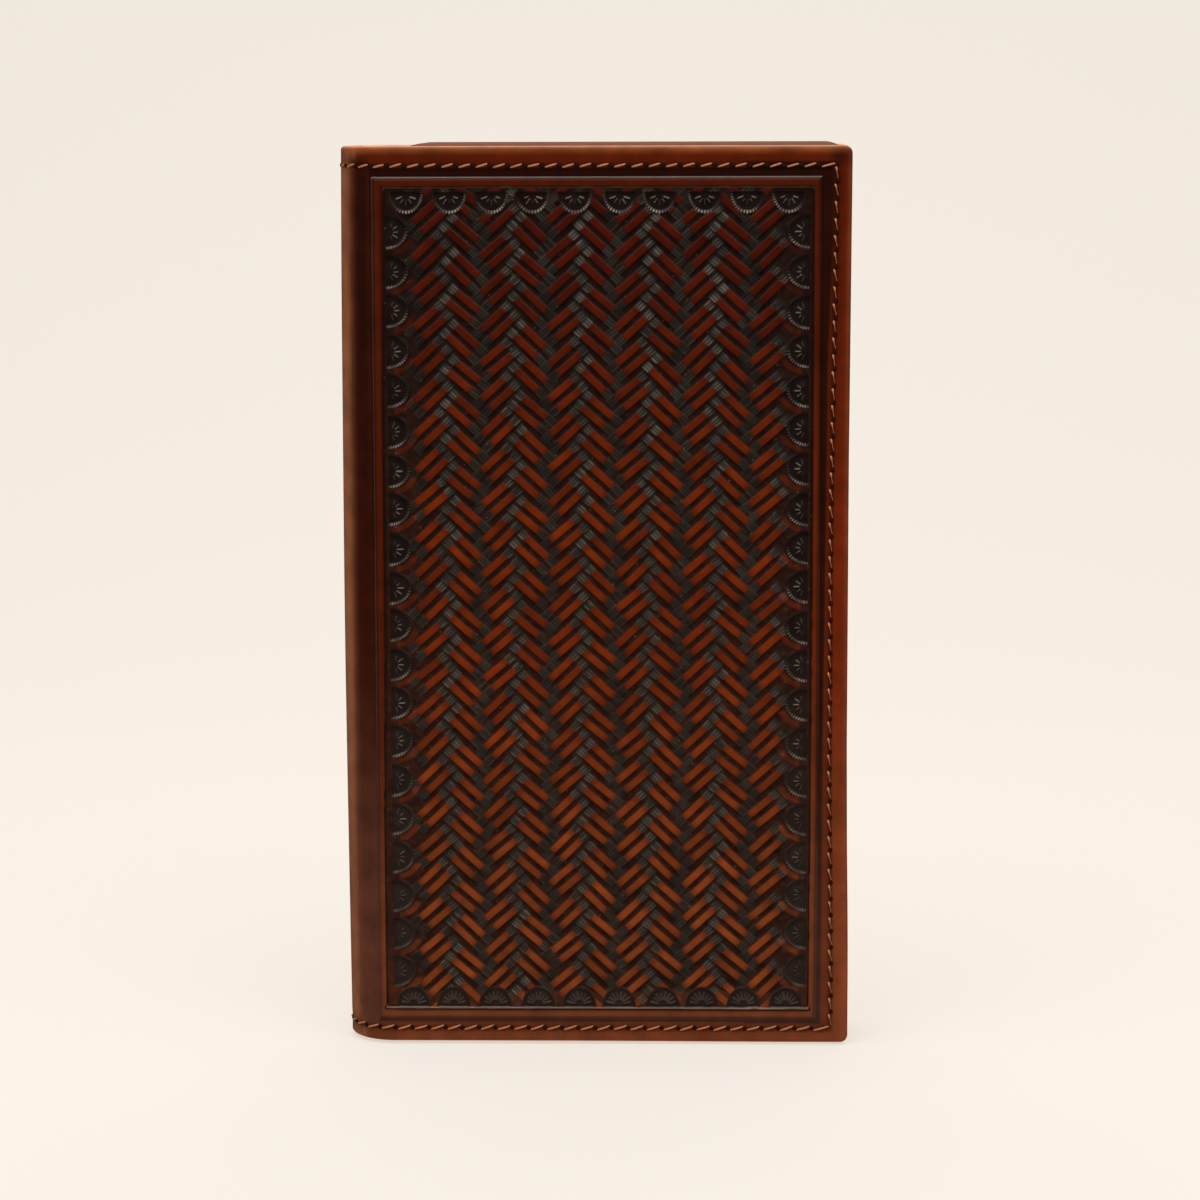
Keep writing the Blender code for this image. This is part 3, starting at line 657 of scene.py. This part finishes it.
def line_layers(at):
    """Thin lines: painted highlights on the rim's outer edge and the lower wall of the sunk panel,
    paste and painted shade on its other walls, a painted shadow line under its lower wall, and
    painted shade along the seam.
    """
    z, ground = at.z, at.ground
    # Painted highlight on the rim's outer edge, strongest along the top where it faces up
    highlight_mask = between(-0.10, -0.05, 0.05, at.outer) * (1.0 - at.inside)
    facing = mix(0.12, 1.0, step(HEIGHT - RIM_TOP - 0.5, HEIGHT - RIM_TOP - 0.1, z))
    by_spine = 0.22 * step(RIM_SPINE - 0.3, RIM_SPINE, at.u) * step(20.0, 60.0, z)
    wall = between(-0.04, 0.10, 0.08, ground + 0.07 * wobble(at.x, z, 1.1, 4))
    sill = step(GROUND_BOTTOM + 0.5, GROUND_BOTTOM + 0.15, z)
    lintel = step(HEIGHT - GROUND_TOP - 0.6, HEIGHT - GROUND_TOP - 0.2, z)
    return (
        (0.55 * PAINTED_HIGHLIGHT, 0.7 * highlight_mask * np.maximum(facing, by_spine)),
        # Walls of the sunk panel: partly antique paste, partly painted shade
        (ANTIQUE, wall * (1.0 - sill)),
        # Painted highlight on the lower wall, faint on the upper
        (PAINTED_HIGHLIGHT, wall * np.maximum(weigh(SILL_TONE, at.mottle) * sill, 0.12 * lintel)),
        # Painted shadow line under the lower wall
        (ANTIQUE, sill * between(-0.4, -0.16, 0.08, ground)),
        # Painted shade along the seam
        (0.5 * MARGIN_SHADE, (0.45 - 0.25 * step(*BY_TOP_SEAM, z)) * at.seam * (1.0 - at.inside)),
    )


def leather_colour(at):
    """Red-brown leather with black antique paste in everything that is sunk, and painted
    highlights, painted reflection and painted shade laid over it.
    """
    at.mottle, at.speck = noise(at, 2.6, 6), noise(at, 0.9, 8)
    at.lower, at.lowest = step(*TO_MIDDLE, at.z), step(*TO_BOTTOM, at.z)
    layers = ((field_colour(at), at.inside), rim_layer(at), *paste_layers(at), *line_layers(at))
    return layer(margin_colour(at), *layers)


def add_object(name, data):
    obj = bpy.data.objects.new(name, data)
    bpy.context.collection.objects.link(obj)
    return obj


def quads(rows, columns, closed):
    """Corners of the quads of a grid; its second direction can close on itself."""
    low = np.arange(rows - 1)[:, None] * columns
    high = low + columns
    column = np.arange(columns if closed else columns - 1)
    following = (column + 1) % columns
    corners = (low + column, high + column, high + following, low + following)
    return np.stack(corners, axis=-1).reshape(-1, 4)


def make_mesh(name, points, faces, surface, material):
    """Smooth mesh from points in millimetres and quads, with a place on the sheet for each."""
    mesh = bpy.data.meshes.new(name)
    mesh.vertices.add(len(points))
    mesh.vertices.foreach_set("co", (points * MM).ravel())
    mesh.loops.add(faces.size)
    mesh.loops.foreach_set("vertex_index", faces.ravel().astype(np.int32))
    mesh.polygons.add(len(faces))
    mesh.polygons.foreach_set("loop_start", np.arange(0, faces.size, 4, dtype=np.int32))
    mesh.update(calc_edges=True)
    mesh.polygons.foreach_set("use_smooth", np.ones(len(faces), dtype=bool))
    if surface is not None:
        uv = mesh.uv_layers.new(name="surface")
        uv.data.foreach_set("uv", surface[faces.ravel()].ravel())
    mesh.materials.append(material)
    return add_object(name, mesh)


def grid_mesh(name, points, closed, material, surface=None, colour=None):
    """Mesh over a grid of points, with its places on the leather and its colours."""
    faces = quads(*points.shape[:2], closed)
    if surface is not None:
        surface = surface.reshape(-1, 2) * 0.01
    obj = make_mesh(name, points.reshape(-1, 3), faces, surface, material)
    if colour is not None:
        tint = obj.data.color_attributes.new("tint", "FLOAT_COLOR", "POINT")
        tint.data.foreach_set("color", colour.reshape(-1, 4).astype(np.float32).ravel())
    return obj


def join_grids(name, grids, material):
    """One mesh from many closed tubes of the same shape."""
    count, (rows, columns) = len(grids), grids[0].shape[:2]
    face = quads(rows, columns, True)[:, (0, 3, 2, 1)]
    faces = (face[None] + np.arange(count)[:, None, None] * rows * columns).reshape(-1, 4)
    across = np.tile(np.linspace(0, 1, columns, endpoint=False), rows)
    along = np.repeat(np.arange(rows), columns) * 0.3
    surface = np.stack([np.tile(along, count), np.tile(across, count)], axis=-1)
    return make_mesh(name, np.stack(grids).reshape(-1, 3), faces, surface, material)


def positions(*ranges):
    """Sorted positions from (low, high, spacing) ranges that follow each other."""
    parts = []
    for low, high, spacing in ranges:
        count = max(1, round((high - low) / spacing))
        parts.append(np.linspace(low, high, count, endpoint=False))
    return np.concatenate([*parts, [ranges[-1][1]]])


def edge_shrink(u):
    """How much the free corners are cut back at a distance from the free edge."""
    inside = np.clip(CORNER - u, 0.0, CORNER)
    return CORNER - np.sqrt(CORNER ** 2 - inside ** 2)


def lower_edge(s):
    """The hand-cut bottom edge rises a little from the free edges to the spine."""
    return ramp(BOTTOM_RISE, np.minimum(s, TOTAL - s))


def upper_edge(s, inset=0.0):
    """The top edge drops a little where the fold bows out."""
    return HEIGHT - TOP_DROP - inset - BOW_DROP * bulge(s, HEIGHT / 2) / BOW


def face_heights(s, share, edge, low, high):
    """Heights at shares of the way up a sheet's face, between its rounded edges."""
    shrink = edge_shrink(np.minimum(s, TOTAL - s))
    bottom = low + shrink
    rise = high - shrink - bottom - 2 * edge
    return (bottom + edge)[:, None] + rise[:, None] * share


def sheet_points(s, share, height, span, edge, low, high):
    """Points round a sheet's section at every place along it, and their place on the sheet.

    The section goes up the outside, over the rounded top edge, down the inside and under the
    bottom edge. The span is the depths of the two faces.
    """
    u = np.minimum(s, TOTAL - s)
    shrink = edge_shrink(u)
    face_z = face_heights(s, share, edge, low, high)
    back_z = face_heights(s, BACK_SHARES, edge, low, high)
    top_z = (high - shrink - edge)[:, None] + edge * np.sin(EDGE_TURN)
    bottom_z = (low + shrink + edge)[:, None] - edge * np.sin(EDGE_TURN)
    z = np.concatenate([face_z, top_z, back_z, bottom_z], axis=1)
    thick = span[1] - span[0]
    taper = np.sqrt(np.clip(1.0 - (1.0 - np.clip(u / edge, 0, 1)) ** 2, 0.0, 1.0))
    half = 0.5 * thick * taper[:, None]
    middle = span[0] + 0.5 * thick
    face_d = np.broadcast_to(middle - half, face_z.shape) - height
    back_d = np.broadcast_to(middle + half, back_z.shape)
    turned = half * np.cos(EDGE_TURN)
    d = np.concatenate([face_d, middle - turned, back_d, middle + turned], axis=1)
    along = np.broadcast_to(s[:, None], z.shape)
    x, y = outside(along, d)
    x = x - bulge(along, z) + flare(along, z)
    return np.stack([x, y, z], axis=-1), np.stack([along, z + d], axis=-1)


def blend_zone(obj):
    """Bakes a piece's placement into its mesh."""
    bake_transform(obj)


def fine_between(first, last, fine, end):
    """Positions from a rounded edge to an end, finer where a cover is tooled."""
    return positions((SKIN_EDGE, first, NEAR_EDGE), (first, last, fine), (last, end, COARSE))


def zone_positions(zone, fine):
    """Places along the outside for one piece, finer where it is tooled."""
    if zone in (1, 2):
        return positions((*ZONES[zone], COARSE))
    rounded = SKIN_EDGE * (1.0 - np.cos(np.linspace(0, math.pi / 2, 8)))
    u = np.concatenate([rounded[:-1], fine_between(*TOOLED_U, fine, ZONES[0][1])])
    return u if zone == 0 else (TOTAL - u)[::-1]


def zone_shares(zone, fine):
    """Shares of the way up for one piece, finer where it is tooled."""
    top = HEIGHT - SKIN_EDGE
    rows = positions((SKIN_EDGE, top, SPINE_ROWS))
    if zone in (0, 3):
        rows = fine_between(*TOOLED_Z, fine, top)
    return (rows - rows[0]) / (rows[-1] - rows[0])


def sheet_colours(shape, colour, waxed):
    """Colour of the face, of the rounded edges next to it and of the rest of the sheet."""
    rows = colour.shape[1]
    colours = np.zeros((*shape, 4))
    colours[:, :rows, :3] = colour
    colours[:, :rows, 3] = waxed
    # Cut edges: their own light colour made lighter as a painted highlight
    colours[:, rows:, :3] = CUT_EDGE_AND_HIGHLIGHT
    for first, nearest, outward in ((rows, -1, 1.0), (shape[1] - TURNS, 0, -1.0)):
        share = step(0.45, 0.98, 0.5 + 0.5 * outward * np.cos(EDGE_TURN))[None, :, None]
        part = mix(CUT_EDGE_AND_HIGHLIGHT, colour[:, nearest][:, None, :], share)
        colours[:, first : first + TURNS, :3] = part
    return colours


def outer_leather(material):
    """Tooled outside as one sheet in four pieces."""
    spacing = FINE
    nodes = (
        ("back_cover",),
        ("spine_back_leather",),
        ("spine_middle_leather", "spine_front_leather"),
        ("front_cover",),
    )
    places = moon_places()
    for zone, fine in enumerate(spacing):
        s = zone_positions(zone, fine)
        share = zone_shares(zone, fine)
        low, high = lower_edge(s), upper_edge(s)
        z = face_heights(s, share, SKIN_EDGE, low, high)
        u = np.broadcast_to(np.minimum(s, TOTAL - s)[:, None], z.shape)
        height, colour, waxed = tooling(u, z, places)
        calm = CALM * wobble(s[:, None], z, 18.0, 5) * step(0, 6, u)
        height = height + calm - CALM
        points, surface = sheet_points(s, share, height, (0.0, SKIN), SKIN_EDGE, low, high)
        colours = sheet_colours(points.shape[:2], colour, waxed)
        obj = grid_mesh(f"outer_leather_{zone + 1}", points, True, material, surface, colours)
        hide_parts(*nodes[zone])
        blend_zone(obj)


def inner_lining(material):
    """Plain lining as one sheet in four pieces, like the outside."""
    nodes = (
        ("back_lining",),
        ("spine_back_lining",),
        ("spine_middle_lining", "spine_front_lining"),
        ("front_lining",),
    )
    share = positions((0.0, 1.0, LINING_SHARE))
    inset_s, inset_z = LINING_INSET
    for zone, (first, last) in enumerate(ZONES):
        s = positions((max(first, inset_s), min(last, TOTAL - inset_s), LINING_SPACING))
        low, high = lower_edge(s) + inset_z, upper_edge(s, inset_z)
        points, surface = sheet_points(s, share, 0.0, LINING, LINING_EDGE, low, high)
        obj = grid_mesh(f"lining_{zone + 1}", points, True, material, surface)
        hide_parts(*nodes[zone])
        blend_zone(obj)


def tube(line, across, up, girth):
    """Rings of points round a line, a little flatter than round."""
    ring = np.cos(TUBE_TURN) * across + TUBE_FLATNESS * np.sin(TUBE_TURN) * up
    return line[:, None, :] + ring[None, :, :] * girth[:, None, None]


def stitch_tube(start, finish, normal, dive, lift, radius):
    """Points of a bent thread between two places, lifted along the normal.

    With a dive of one, the thread stands up at its start and thins towards its end.
    """
    along = np.linspace(0, 1, 9)
    arch = np.sin(math.pi * along ** (1.0 - 0.5 * dive)) ** 0.6
    rise = lift * arch * (1.0 - 0.6 * dive * along) - 0.25 * (1 - arch)
    line = start + (finish - start) * along[:, None] + normal * rise[:, None]
    across = np.cross(normal, (finish - start) / np.linalg.norm(finish - start))
    across /= np.linalg.norm(across)
    girth = radius * (0.72 + 0.28 * arch) * (1.0 - 0.70 * dive * step(0.12, 0.5, along))
    return tube(line, across, normal, girth)


def outside_point(s, z):
    x, y = outside(s, 0.0)
    return np.array([float(x - bulge(s, z) + flare(s, z)), float(y), float(z)])


def outside_normal(s):
    angle = math.pi / 2 + min(max((s - FLAT) / RADIUS, 0.0), math.pi)
    return np.array([math.cos(angle), math.sin(angle), 0.0])


def seam_stitches():
    """Stitches of the edge seam as (place, start, finish, normal, kind), and their holes."""
    stitches, holes = [], []
    for level, slant, first, last, hole in SEAM_ROWS:
        low = float(seam_free(level))
        count = round((TOTAL - 2 * low) / STITCH_PITCH)
        pitch = (TOTAL - 2 * low) / count
        for index in range(count):
            s = low + pitch * index
            z = level + RNG.uniform(-0.06, 0.06)
            lean = slant + RNG.uniform(-0.06, 0.06)
            start = outside_point(s + first, z - lean)
            finish = outside_point(s + pitch - last, z + lean)
            middle = s + pitch / 2
            stitches.append((middle, start, finish, outside_normal(middle), LAID))
            holes.append((s, outside_point(s + 0.1, z), outside_normal(s), hole))
    count = round((TOP_SEAM - BOTTOM_SEAM) / STITCH_PITCH)
    pitch = (TOP_SEAM - BOTTOM_SEAM) / count
    for side in (-1.0, 1.0):
        for index in range(count):
            z = TOP_SEAM - pitch * index
            free = float(seam_free(z))
            s = free if side < 0 else TOTAL - free
            normal = outside_normal(s)
            lean = SIDE_LEAN + RNG.uniform(-0.08, 0.08)
            start = outside_point(s - side * lean, z - SIDE_ENDS[0])
            finish = outside_point(s + side * lean, z - pitch + SIDE_ENDS[1])
            stitches.append((s, start, finish, normal, DIVING))
            holes.append((s, outside_point(s + 0.2 * side, z + 0.15), normal, SIDE_HOLE))
    return stitches, holes


def hole_grid(centre, normal, size):
    """Small dark lens sunk in the leather where the thread goes through; its dark colour is
    painted shade inside the hole.
    """
    up = np.array([0.0, 0.0, 1.0])
    turn = np.linspace(0, 2 * math.pi, 10, endpoint=False)[:, None]
    ring = np.cos(turn) * np.cross(up, normal) * size[0] + np.sin(turn) * up * size[1]
    return np.stack([centre + ring * scale + normal * lift for scale, lift in HOLE_RINGS])


def outer_stitching(thread, dark):
    """Thread of the edge seam and its holes, in a piece of each for every zone."""
    stitches, holes = seam_stitches()
    for zone, (low, high) in enumerate(ZONES):
        tubes = []
        for kind in (LAID, DIVING):
            mine = [stitch for stitch in stitches if low <= stitch[0] < high and stitch[4] == kind]
            tubes += [stitch_tube(*stitch[1:4], *kind) for stitch in mine]
        lenses = [hole_grid(*hole[1:]) for hole in holes if low <= hole[0] < high]
        for name, grids, material in (("thread", tubes, thread), ("holes", lenses, dark)):
            obj = join_grids(f"seam_{name}_{zone + 1}", grids, material)
            blend_zone(obj)


def pocket_tree(prefix):
    """Search tree over the pocket pieces of one half."""
    points, faces = [], []
    for name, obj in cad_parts.items():
        pocket = name.startswith(prefix) and ("pocket_panel" in name or "card_slot" in name)
        if pocket or (prefix == "front" and name == "id_window_frame"):
            first = len(points)
            points += [obj.matrix_world @ vertex.co for vertex in obj.data.vertices]
            faces += [[first + index for index in face.vertices] for face in obj.data.polygons]
    return BVHTree.FromPolygons(points, faces)


def inner_level(tree, side, x, z):
    """Distance from the middle plane to the nearest pocket surface of one half."""
    start = Vector((x * MM, -side * 1.5 * MM, z * MM))
    place = tree.ray_cast(start, Vector((0, side, 0)))[0]
    return side * place.y / MM


def seam_line(start, finish, pitch, slant):
    """Places of slanted stitches along a straight seam in X and Z."""
    start, finish = np.array(start), np.array(finish)
    count = max(1, round(float(np.linalg.norm(finish - start)) / pitch))
    way = (finish - start) / count
    across = np.array([-way[1], way[0]]) / np.linalg.norm(way)
    stitches = []
    for index in range(count):
        low = start + way * (index + 0.12) - across * slant
        high = start + way * (index + 0.9) + across * slant
        stitches.append((low, high))
    return stitches


def inner_seams(side):
    """Seams of one half as stitches in X and Z: round the panel, along the slots, the window."""
    seam_x = FREE_X - STITCH_FREE
    panel = (STITCH_PITCH, PANEL_LEAN)
    stitches = seam_line((PANEL_SEAM_END, TOP_SEAM), (seam_x, TOP_SEAM), *panel)
    stitches += seam_line((seam_x, TOP_SEAM), (seam_x, BOTTOM_SEAM), *panel)
    stitches += seam_line((PANEL_SEAM_END, BOTTOM_SEAM), (seam_x, BOTTOM_SEAM), *panel)
    prefix = "back" if side > 0 else "front"
    slots = [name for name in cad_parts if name.startswith(f"{prefix}_card_slot")]
    boxes = sorted((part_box(name) for name in slots), key=lambda box: box[1][2])
    slot_x = boxes[0][0][0] / MM + 1.25
    bottom = boxes[0][0][2] / MM + 1.0
    for box in boxes:
        top = box[1][2] / MM - 0.9
        stitches += seam_line((slot_x, top), (slot_x, bottom), *SLOT_SEAM)
        bottom = top + 2.3
    if side < 0:
        low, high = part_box("id_window_frame")
        left, right = low[0] / MM + 1.4, high[0] / MM - 1.4
        floor, roof = low[2] / MM + 1.4, high[2] / MM - 1.2
        stitches += seam_line((left, roof), (left, floor), *SLOT_SEAM)
        stitches += seam_line((left, floor), (right, floor), *SLOT_SEAM)
        left, right = left + WINDOW_INSET[0], right - WINDOW_INSET[0]
        floor, roof = floor + WINDOW_INSET[1], roof - WINDOW_INSET[1]
        corners = ((left, floor), (right, floor), (right, roof), (left, roof))
        for index, corner in enumerate(corners):
            stitches += seam_line(corner, corners[(index + 1) % 4], *WINDOW_SEAM)
    return stitches


def inner_stitching(thread, dark):
    """Thread and holes of the inner seams, laid on whatever pocket is nearest."""
    along = np.linspace(0, 1, 11)
    arch = np.sin(math.pi * along) ** 0.6
    rise = 0.12 * arch - 0.22 * (1 - arch)
    girth = 0.18 * (0.7 + 0.3 * arch)
    for side, prefix in ((1, "back"), (-1, "front")):
        tree = pocket_tree(prefix)
        normal = np.array([0.0, -side, 0.0])
        tubes, holes = [], []
        for low, high in inner_seams(side):
            way = high - low
            places = low + way * along[:, None]
            level = np.array([inner_level(tree, side, x, z) for x, z in places])
            line = np.stack([places[:, 0], side * level, places[:, 1]], axis=1)
            across = np.array([-way[1], 0.0, way[0]]) / np.linalg.norm(way)
            tubes.append(tube(line + normal * rise[:, None], across, normal * side, girth))
            back = low - 0.12 * way
            spot = np.array([back[0], side * inner_level(tree, side, *back), back[1]])
            holes.append(hole_grid(spot, normal, (0.3, 0.3)))
        for name, grids, material in (("thread", tubes, thread), ("holes", holes, dark)):
            obj = join_grids(f"pocket_{name}_{prefix}", grids, material)
            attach(obj, prefix)


def plug(tree, socket, value):
    """Links an output to an input, or sets the input to a plain value."""
    if isinstance(value, bpy.types.NodeSocket):
        tree.links.new(value, socket)
    else:
        socket.default_value = value


def feed(tree, made, **inputs):
    """Plugs outputs or plain values into a node's inputs by name."""
    for key, value in inputs.items():
        plug(tree, made.inputs[key.replace("_", " ")], value)
    return made


def node(tree, kind, **inputs):
    return feed(tree, tree.nodes.new("ShaderNode" + kind), **inputs)


def map_range(tree, value, source, target):
    made = node(tree, "MapRange", Value=value, From_Min=source[0], From_Max=source[1])
    return feed(tree, made, To_Min=target[0], To_Max=target[1]).outputs["Result"]


def maths(tree, operation, *values):
    made = node(tree, "Math")
    made.operation = operation
    for socket, value in zip(made.inputs, values):
        plug(tree, socket, value)
    return made.outputs["Value"]


def scaled(tree, colour, share):
    made = node(tree, "VectorMath")
    made.operation = "SCALE"
    plug(tree, made.inputs[0], colour)
    return feed(tree, made, Scale=share).outputs["Vector"]


def bumpy(tree, shader, height, strength, distance):
    bump = node(tree, "Bump", Height=height, Strength=strength, Distance=distance)
    feed(tree, shader, Normal=bump.outputs["Normal"])


def new_material(name, **inputs):
    """Material, its node tree and its shader with outputs or plain values plugged in."""
    material = bpy.data.materials.new(name)
    material.use_nodes = True
    tree = material.node_tree
    return material, tree, feed(tree, tree.nodes["Principled BSDF"], **inputs)


def surface_place(tree):
    """Coordinates on the sheet or the thread, which bend with it."""
    place = node(tree, "UVMap")
    place.uv_map = "surface"
    return place.outputs["UV"]


def leather_material(name, colour=None, roughness=0.40, grain=0.35):
    """Leather that bends; its colour and paste come from the mesh when none is given."""
    material, tree, shader = new_material(name, Specular_IOR_Level=0.11)
    place = surface_place(tree)
    fine = node(tree, "TexNoise", Vector=place, Scale=GRAIN, Detail=4.0, Roughness=0.6)
    broad = node(tree, "TexNoise", Vector=place, Scale=BROAD_GRAIN, Detail=3.0, Roughness=0.55)
    level = map_range(tree, broad.outputs["Fac"], (0.3, 0.7), (0.78, 1.18))
    if colour is None:
        tint = node(tree, "Attribute")
        tint.attribute_name = "tint"
        colour = tint.outputs["Color"]
        dulled = (roughness, WAXED_ROUGHNESS)
        roughness = map_range(tree, tint.outputs["Alpha"], (0.0, 1.0), dulled)
    feed(tree, shader, Base_Color=scaled(tree, colour, level), Roughness=roughness)
    bumpy(tree, shader, fine.outputs["Fac"], grain, 0.0001)
    return material


def rigid_leather(name, colour, crease):
    """Pebbled leather of the stiff inner pieces: slots are creased, panels burnished."""
    material, tree, shader = new_material(name, Roughness=0.46, Specular_IOR_Level=0.35)
    places = node(tree, "TexCoord").outputs
    own = places["Object"]
    fine = node(tree, "TexNoise", Vector=own, Scale=2600.0, Detail=4.0, Roughness=0.6)
    broad = node(tree, "TexNoise", Vector=own, Scale=55.0, Detail=5.0, Roughness=0.6)
    pebble = node(tree, "TexVoronoi", Vector=own, Scale=1100.0)
    pebble.feature = "DISTANCE_TO_EDGE"
    level = map_range(tree, broad.outputs["Fac"], (0.3, 0.7), (0.86, 1.12))
    crack = map_range(tree, pebble.outputs["Distance"], (0.0, 0.12), (0.8, 1.0))
    level = maths(tree, "MULTIPLY", level, crack)
    if crease:
        up = node(tree, "SeparateXYZ", Vector=places["Generated"]).outputs["Z"]
        away = maths(tree, "ABSOLUTE", maths(tree, "SUBTRACT", up, CREASE))
        pressed = map_range(tree, away, CREASE_WIDTH, (0.25, 1.0))
        level = maths(tree, "MULTIPLY", level, pressed)
    base = scaled(tree, colour, level)
    feed(tree, shader, Base_Color=base if crease else burnished(tree, own, base))
    grain = map_range(tree, fine.outputs["Fac"], (0.0, 1.0), (0.8, 1.0))
    bumpy(tree, shader, maths(tree, "MULTIPLY", crack, grain), 0.45, 0.00015)
    return material


def burnished(tree, place, plain):
    """Colour that is lighter on the panels' cut top edge."""
    up = node(tree, "SeparateXYZ", Vector=place).outputs["Z"]
    blend = node(tree, "Mix")
    blend.data_type = "RGBA"
    share = map_range(tree, up, BURNISH, (0.0, 1.0))
    return feed(tree, blend, Factor=share, A=plain, B=BURNISHED).outputs["Result"]


def thread_material():
    """Waxed thread with a twist that shows as slanted shading."""
    material, tree, shader = new_material("waxed_thread", Roughness=0.45)
    twist = node(tree, "TexWave", Vector=surface_place(tree), Scale=1.6)
    twist.bands_direction = "DIAGONAL"
    level = map_range(tree, twist.outputs["Fac"], (0.0, 1.0), (0.6, 1.15))
    feed(tree, shader, Base_Color=scaled(tree, THREAD, level))
    return material


def dress(obj, material, bevel_width=None):
    """Gives a CAD node its material and, with a width, rounded edges."""
    obj.data.materials.clear()
    obj.data.materials.append(material)
    if bevel_width is None:
        return
    bevel = obj.modifiers.new("soft edge", "BEVEL")
    bevel.width = bevel_width * MM
    bevel.segments = 3
    bevel.limit_method = "ANGLE"
    bevel.angle_limit = math.radians(50)
    obj.modifiers.new("smooth shading", "WEIGHTED_NORMAL").keep_sharp = True
    obj.data.shade_smooth()


def inner_pieces():
    """Pockets, slots and window keep their solids and get materials and soft edges."""
    pocket = rigid_leather("pocket_leather_panel", (0.150, 0.046, 0.017), False)
    slots = rigid_leather("pocket_leather_slot", (0.172, 0.052, 0.018), True)
    window = new_material("clear_window", Base_Color=WINDOW, Roughness=0.08, Alpha=0.07)[0]
    for name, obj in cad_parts.items():
        if "pocket_panel" in name or name == "id_window_frame":
            dress(obj, pocket, 0.2)
        elif "card_slot" in name:
            dress(obj, slots, 0.15)
        elif name == "id_window_sheet":
            dress(obj, window)


def mix_shaders(tree, share, first, second, output):
    """Shows the second shader in place of the first by a share."""
    blend = node(tree, "MixShader")
    for socket, source in zip(blend.inputs, (share, first, second)):
        tree.links.new(source, socket)
    feed(tree, tree.nodes[output], Surface=blend.outputs["Shader"])


def make_stage():
    """Cream sweep under and behind the wallet, clear from its far side."""
    profile = [(-0.6, 0.0)]
    for turn in np.linspace(0, math.pi / 2, 17):
        y = SWEEP_START + SWEEP_BEND * math.sin(turn)
        profile.append((y, SWEEP_BEND - SWEEP_BEND * math.cos(turn)))
    profile.append((SWEEP_START + SWEEP_BEND, 1.6))
    material, tree, shader = new_material(
        "cream_sweep",
        Base_Color=(0.25, 0.235, 0.22, 1.0),
        Roughness=1.0,
        Specular_IOR_Level=0.0,
        Emission_Color=(0.645, 0.598, 0.535, 1.0),
        Emission_Strength=1.0,
    )
    side = node(tree, "NewGeometry").outputs["Backfacing"]
    shaders = (shader.outputs["BSDF"], node(tree, "BsdfTransparent").outputs["BSDF"])
    mix_shaders(tree, side, *shaders, "Material Output")
    rows = np.array([[(x, y, z) for y, z in profile] for x in (-2.0, 2.0)]) / MM
    obj = grid_mesh("backdrop", rows, False, material)
    obj.visible_glossy = False
    obj.location.z = -0.0004


def area_light(name, place, target, size, power):
    data = bpy.data.lights.new(name, "AREA")
    data.shape = "RECTANGLE"
    data.size, data.size_y = size
    data.energy = power
    obj = add_object(name, data)
    obj.location = place
    way = np.array(target) - np.array(place)
    obj.rotation_euler = Vector(way).to_track_quat("-Z", "Y").to_euler()


def make_lights():
    """Two soft lights over the wallet, and a dim world that the camera sees as cream."""
    area_light("overhead", (0.0, -0.28, 0.85), (0, -0.02, 0.1), (1.3, 0.9), 12.0)
    area_light("back_top", (0.0, 0.55, 0.7), (0, 0, 0.12), (0.9, 0.4), 2.0)
    world = bpy.data.worlds.new("studio")
    world.use_nodes = True
    tree = world.node_tree
    dim = feed(tree, tree.nodes["Background"], Color=(1.0, 0.96, 0.92, 1.0), Strength=0.05)
    cream = node(tree, "Background", Color=(0.86, 0.80, 0.73, 1.0))
    seen = node(tree, "LightPath").outputs["Is Camera Ray"]
    shaders = (dim.outputs["Background"], cream.outputs["Background"])
    mix_shaders(tree, seen, *shaders, "World Output")
    scene = bpy.context.scene
    scene.world = world
    scene.view_settings.view_transform = "Standard"
    scene.view_settings.look = "None"


def make_camera():
    """Camera fitted to the photograph."""
    data = bpy.data.cameras.new("camera")
    data.sensor_width = SENSOR
    data.lens = FOCAL * SENSOR / PHOTO_WIDTH
    obj = add_object("camera", data)
    turn = math.radians(YAW)
    x = SHIFT * math.cos(turn) + DISTANCE * math.sin(turn)
    y = SHIFT * math.sin(turn) - DISTANCE * math.cos(turn)
    obj.location = (x, y, LEVEL)
    facing = Matrix.Rotation(turn, 4, "Z") @ Matrix.Rotation(math.radians(90 - PITCH), 4, "X")
    facing = facing @ Matrix.Rotation(math.radians(-ROLL), 4, "Z")
    obj.rotation_euler = facing.to_euler()
    bpy.context.scene.camera = obj


def main():
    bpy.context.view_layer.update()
    tooled = leather_material("tooled_leather_skin")
    lining = leather_material("lining_leather_skin", (0.085, 0.030, 0.014), 0.6, 0.25)
    thread = thread_material()
    # Painted shade inside the stitch holes
    dark = new_material("painted_hole_shade", Base_Color=HOLE, Roughness=0.9, Specular_IOR_Level=0.1)[0]
    outer_leather(tooled)
    inner_lining(lining)
    outer_stitching(thread, dark)
    inner_stitching(thread, dark)
    inner_pieces()
    make_stage()
    make_lights()
    make_camera()


main()
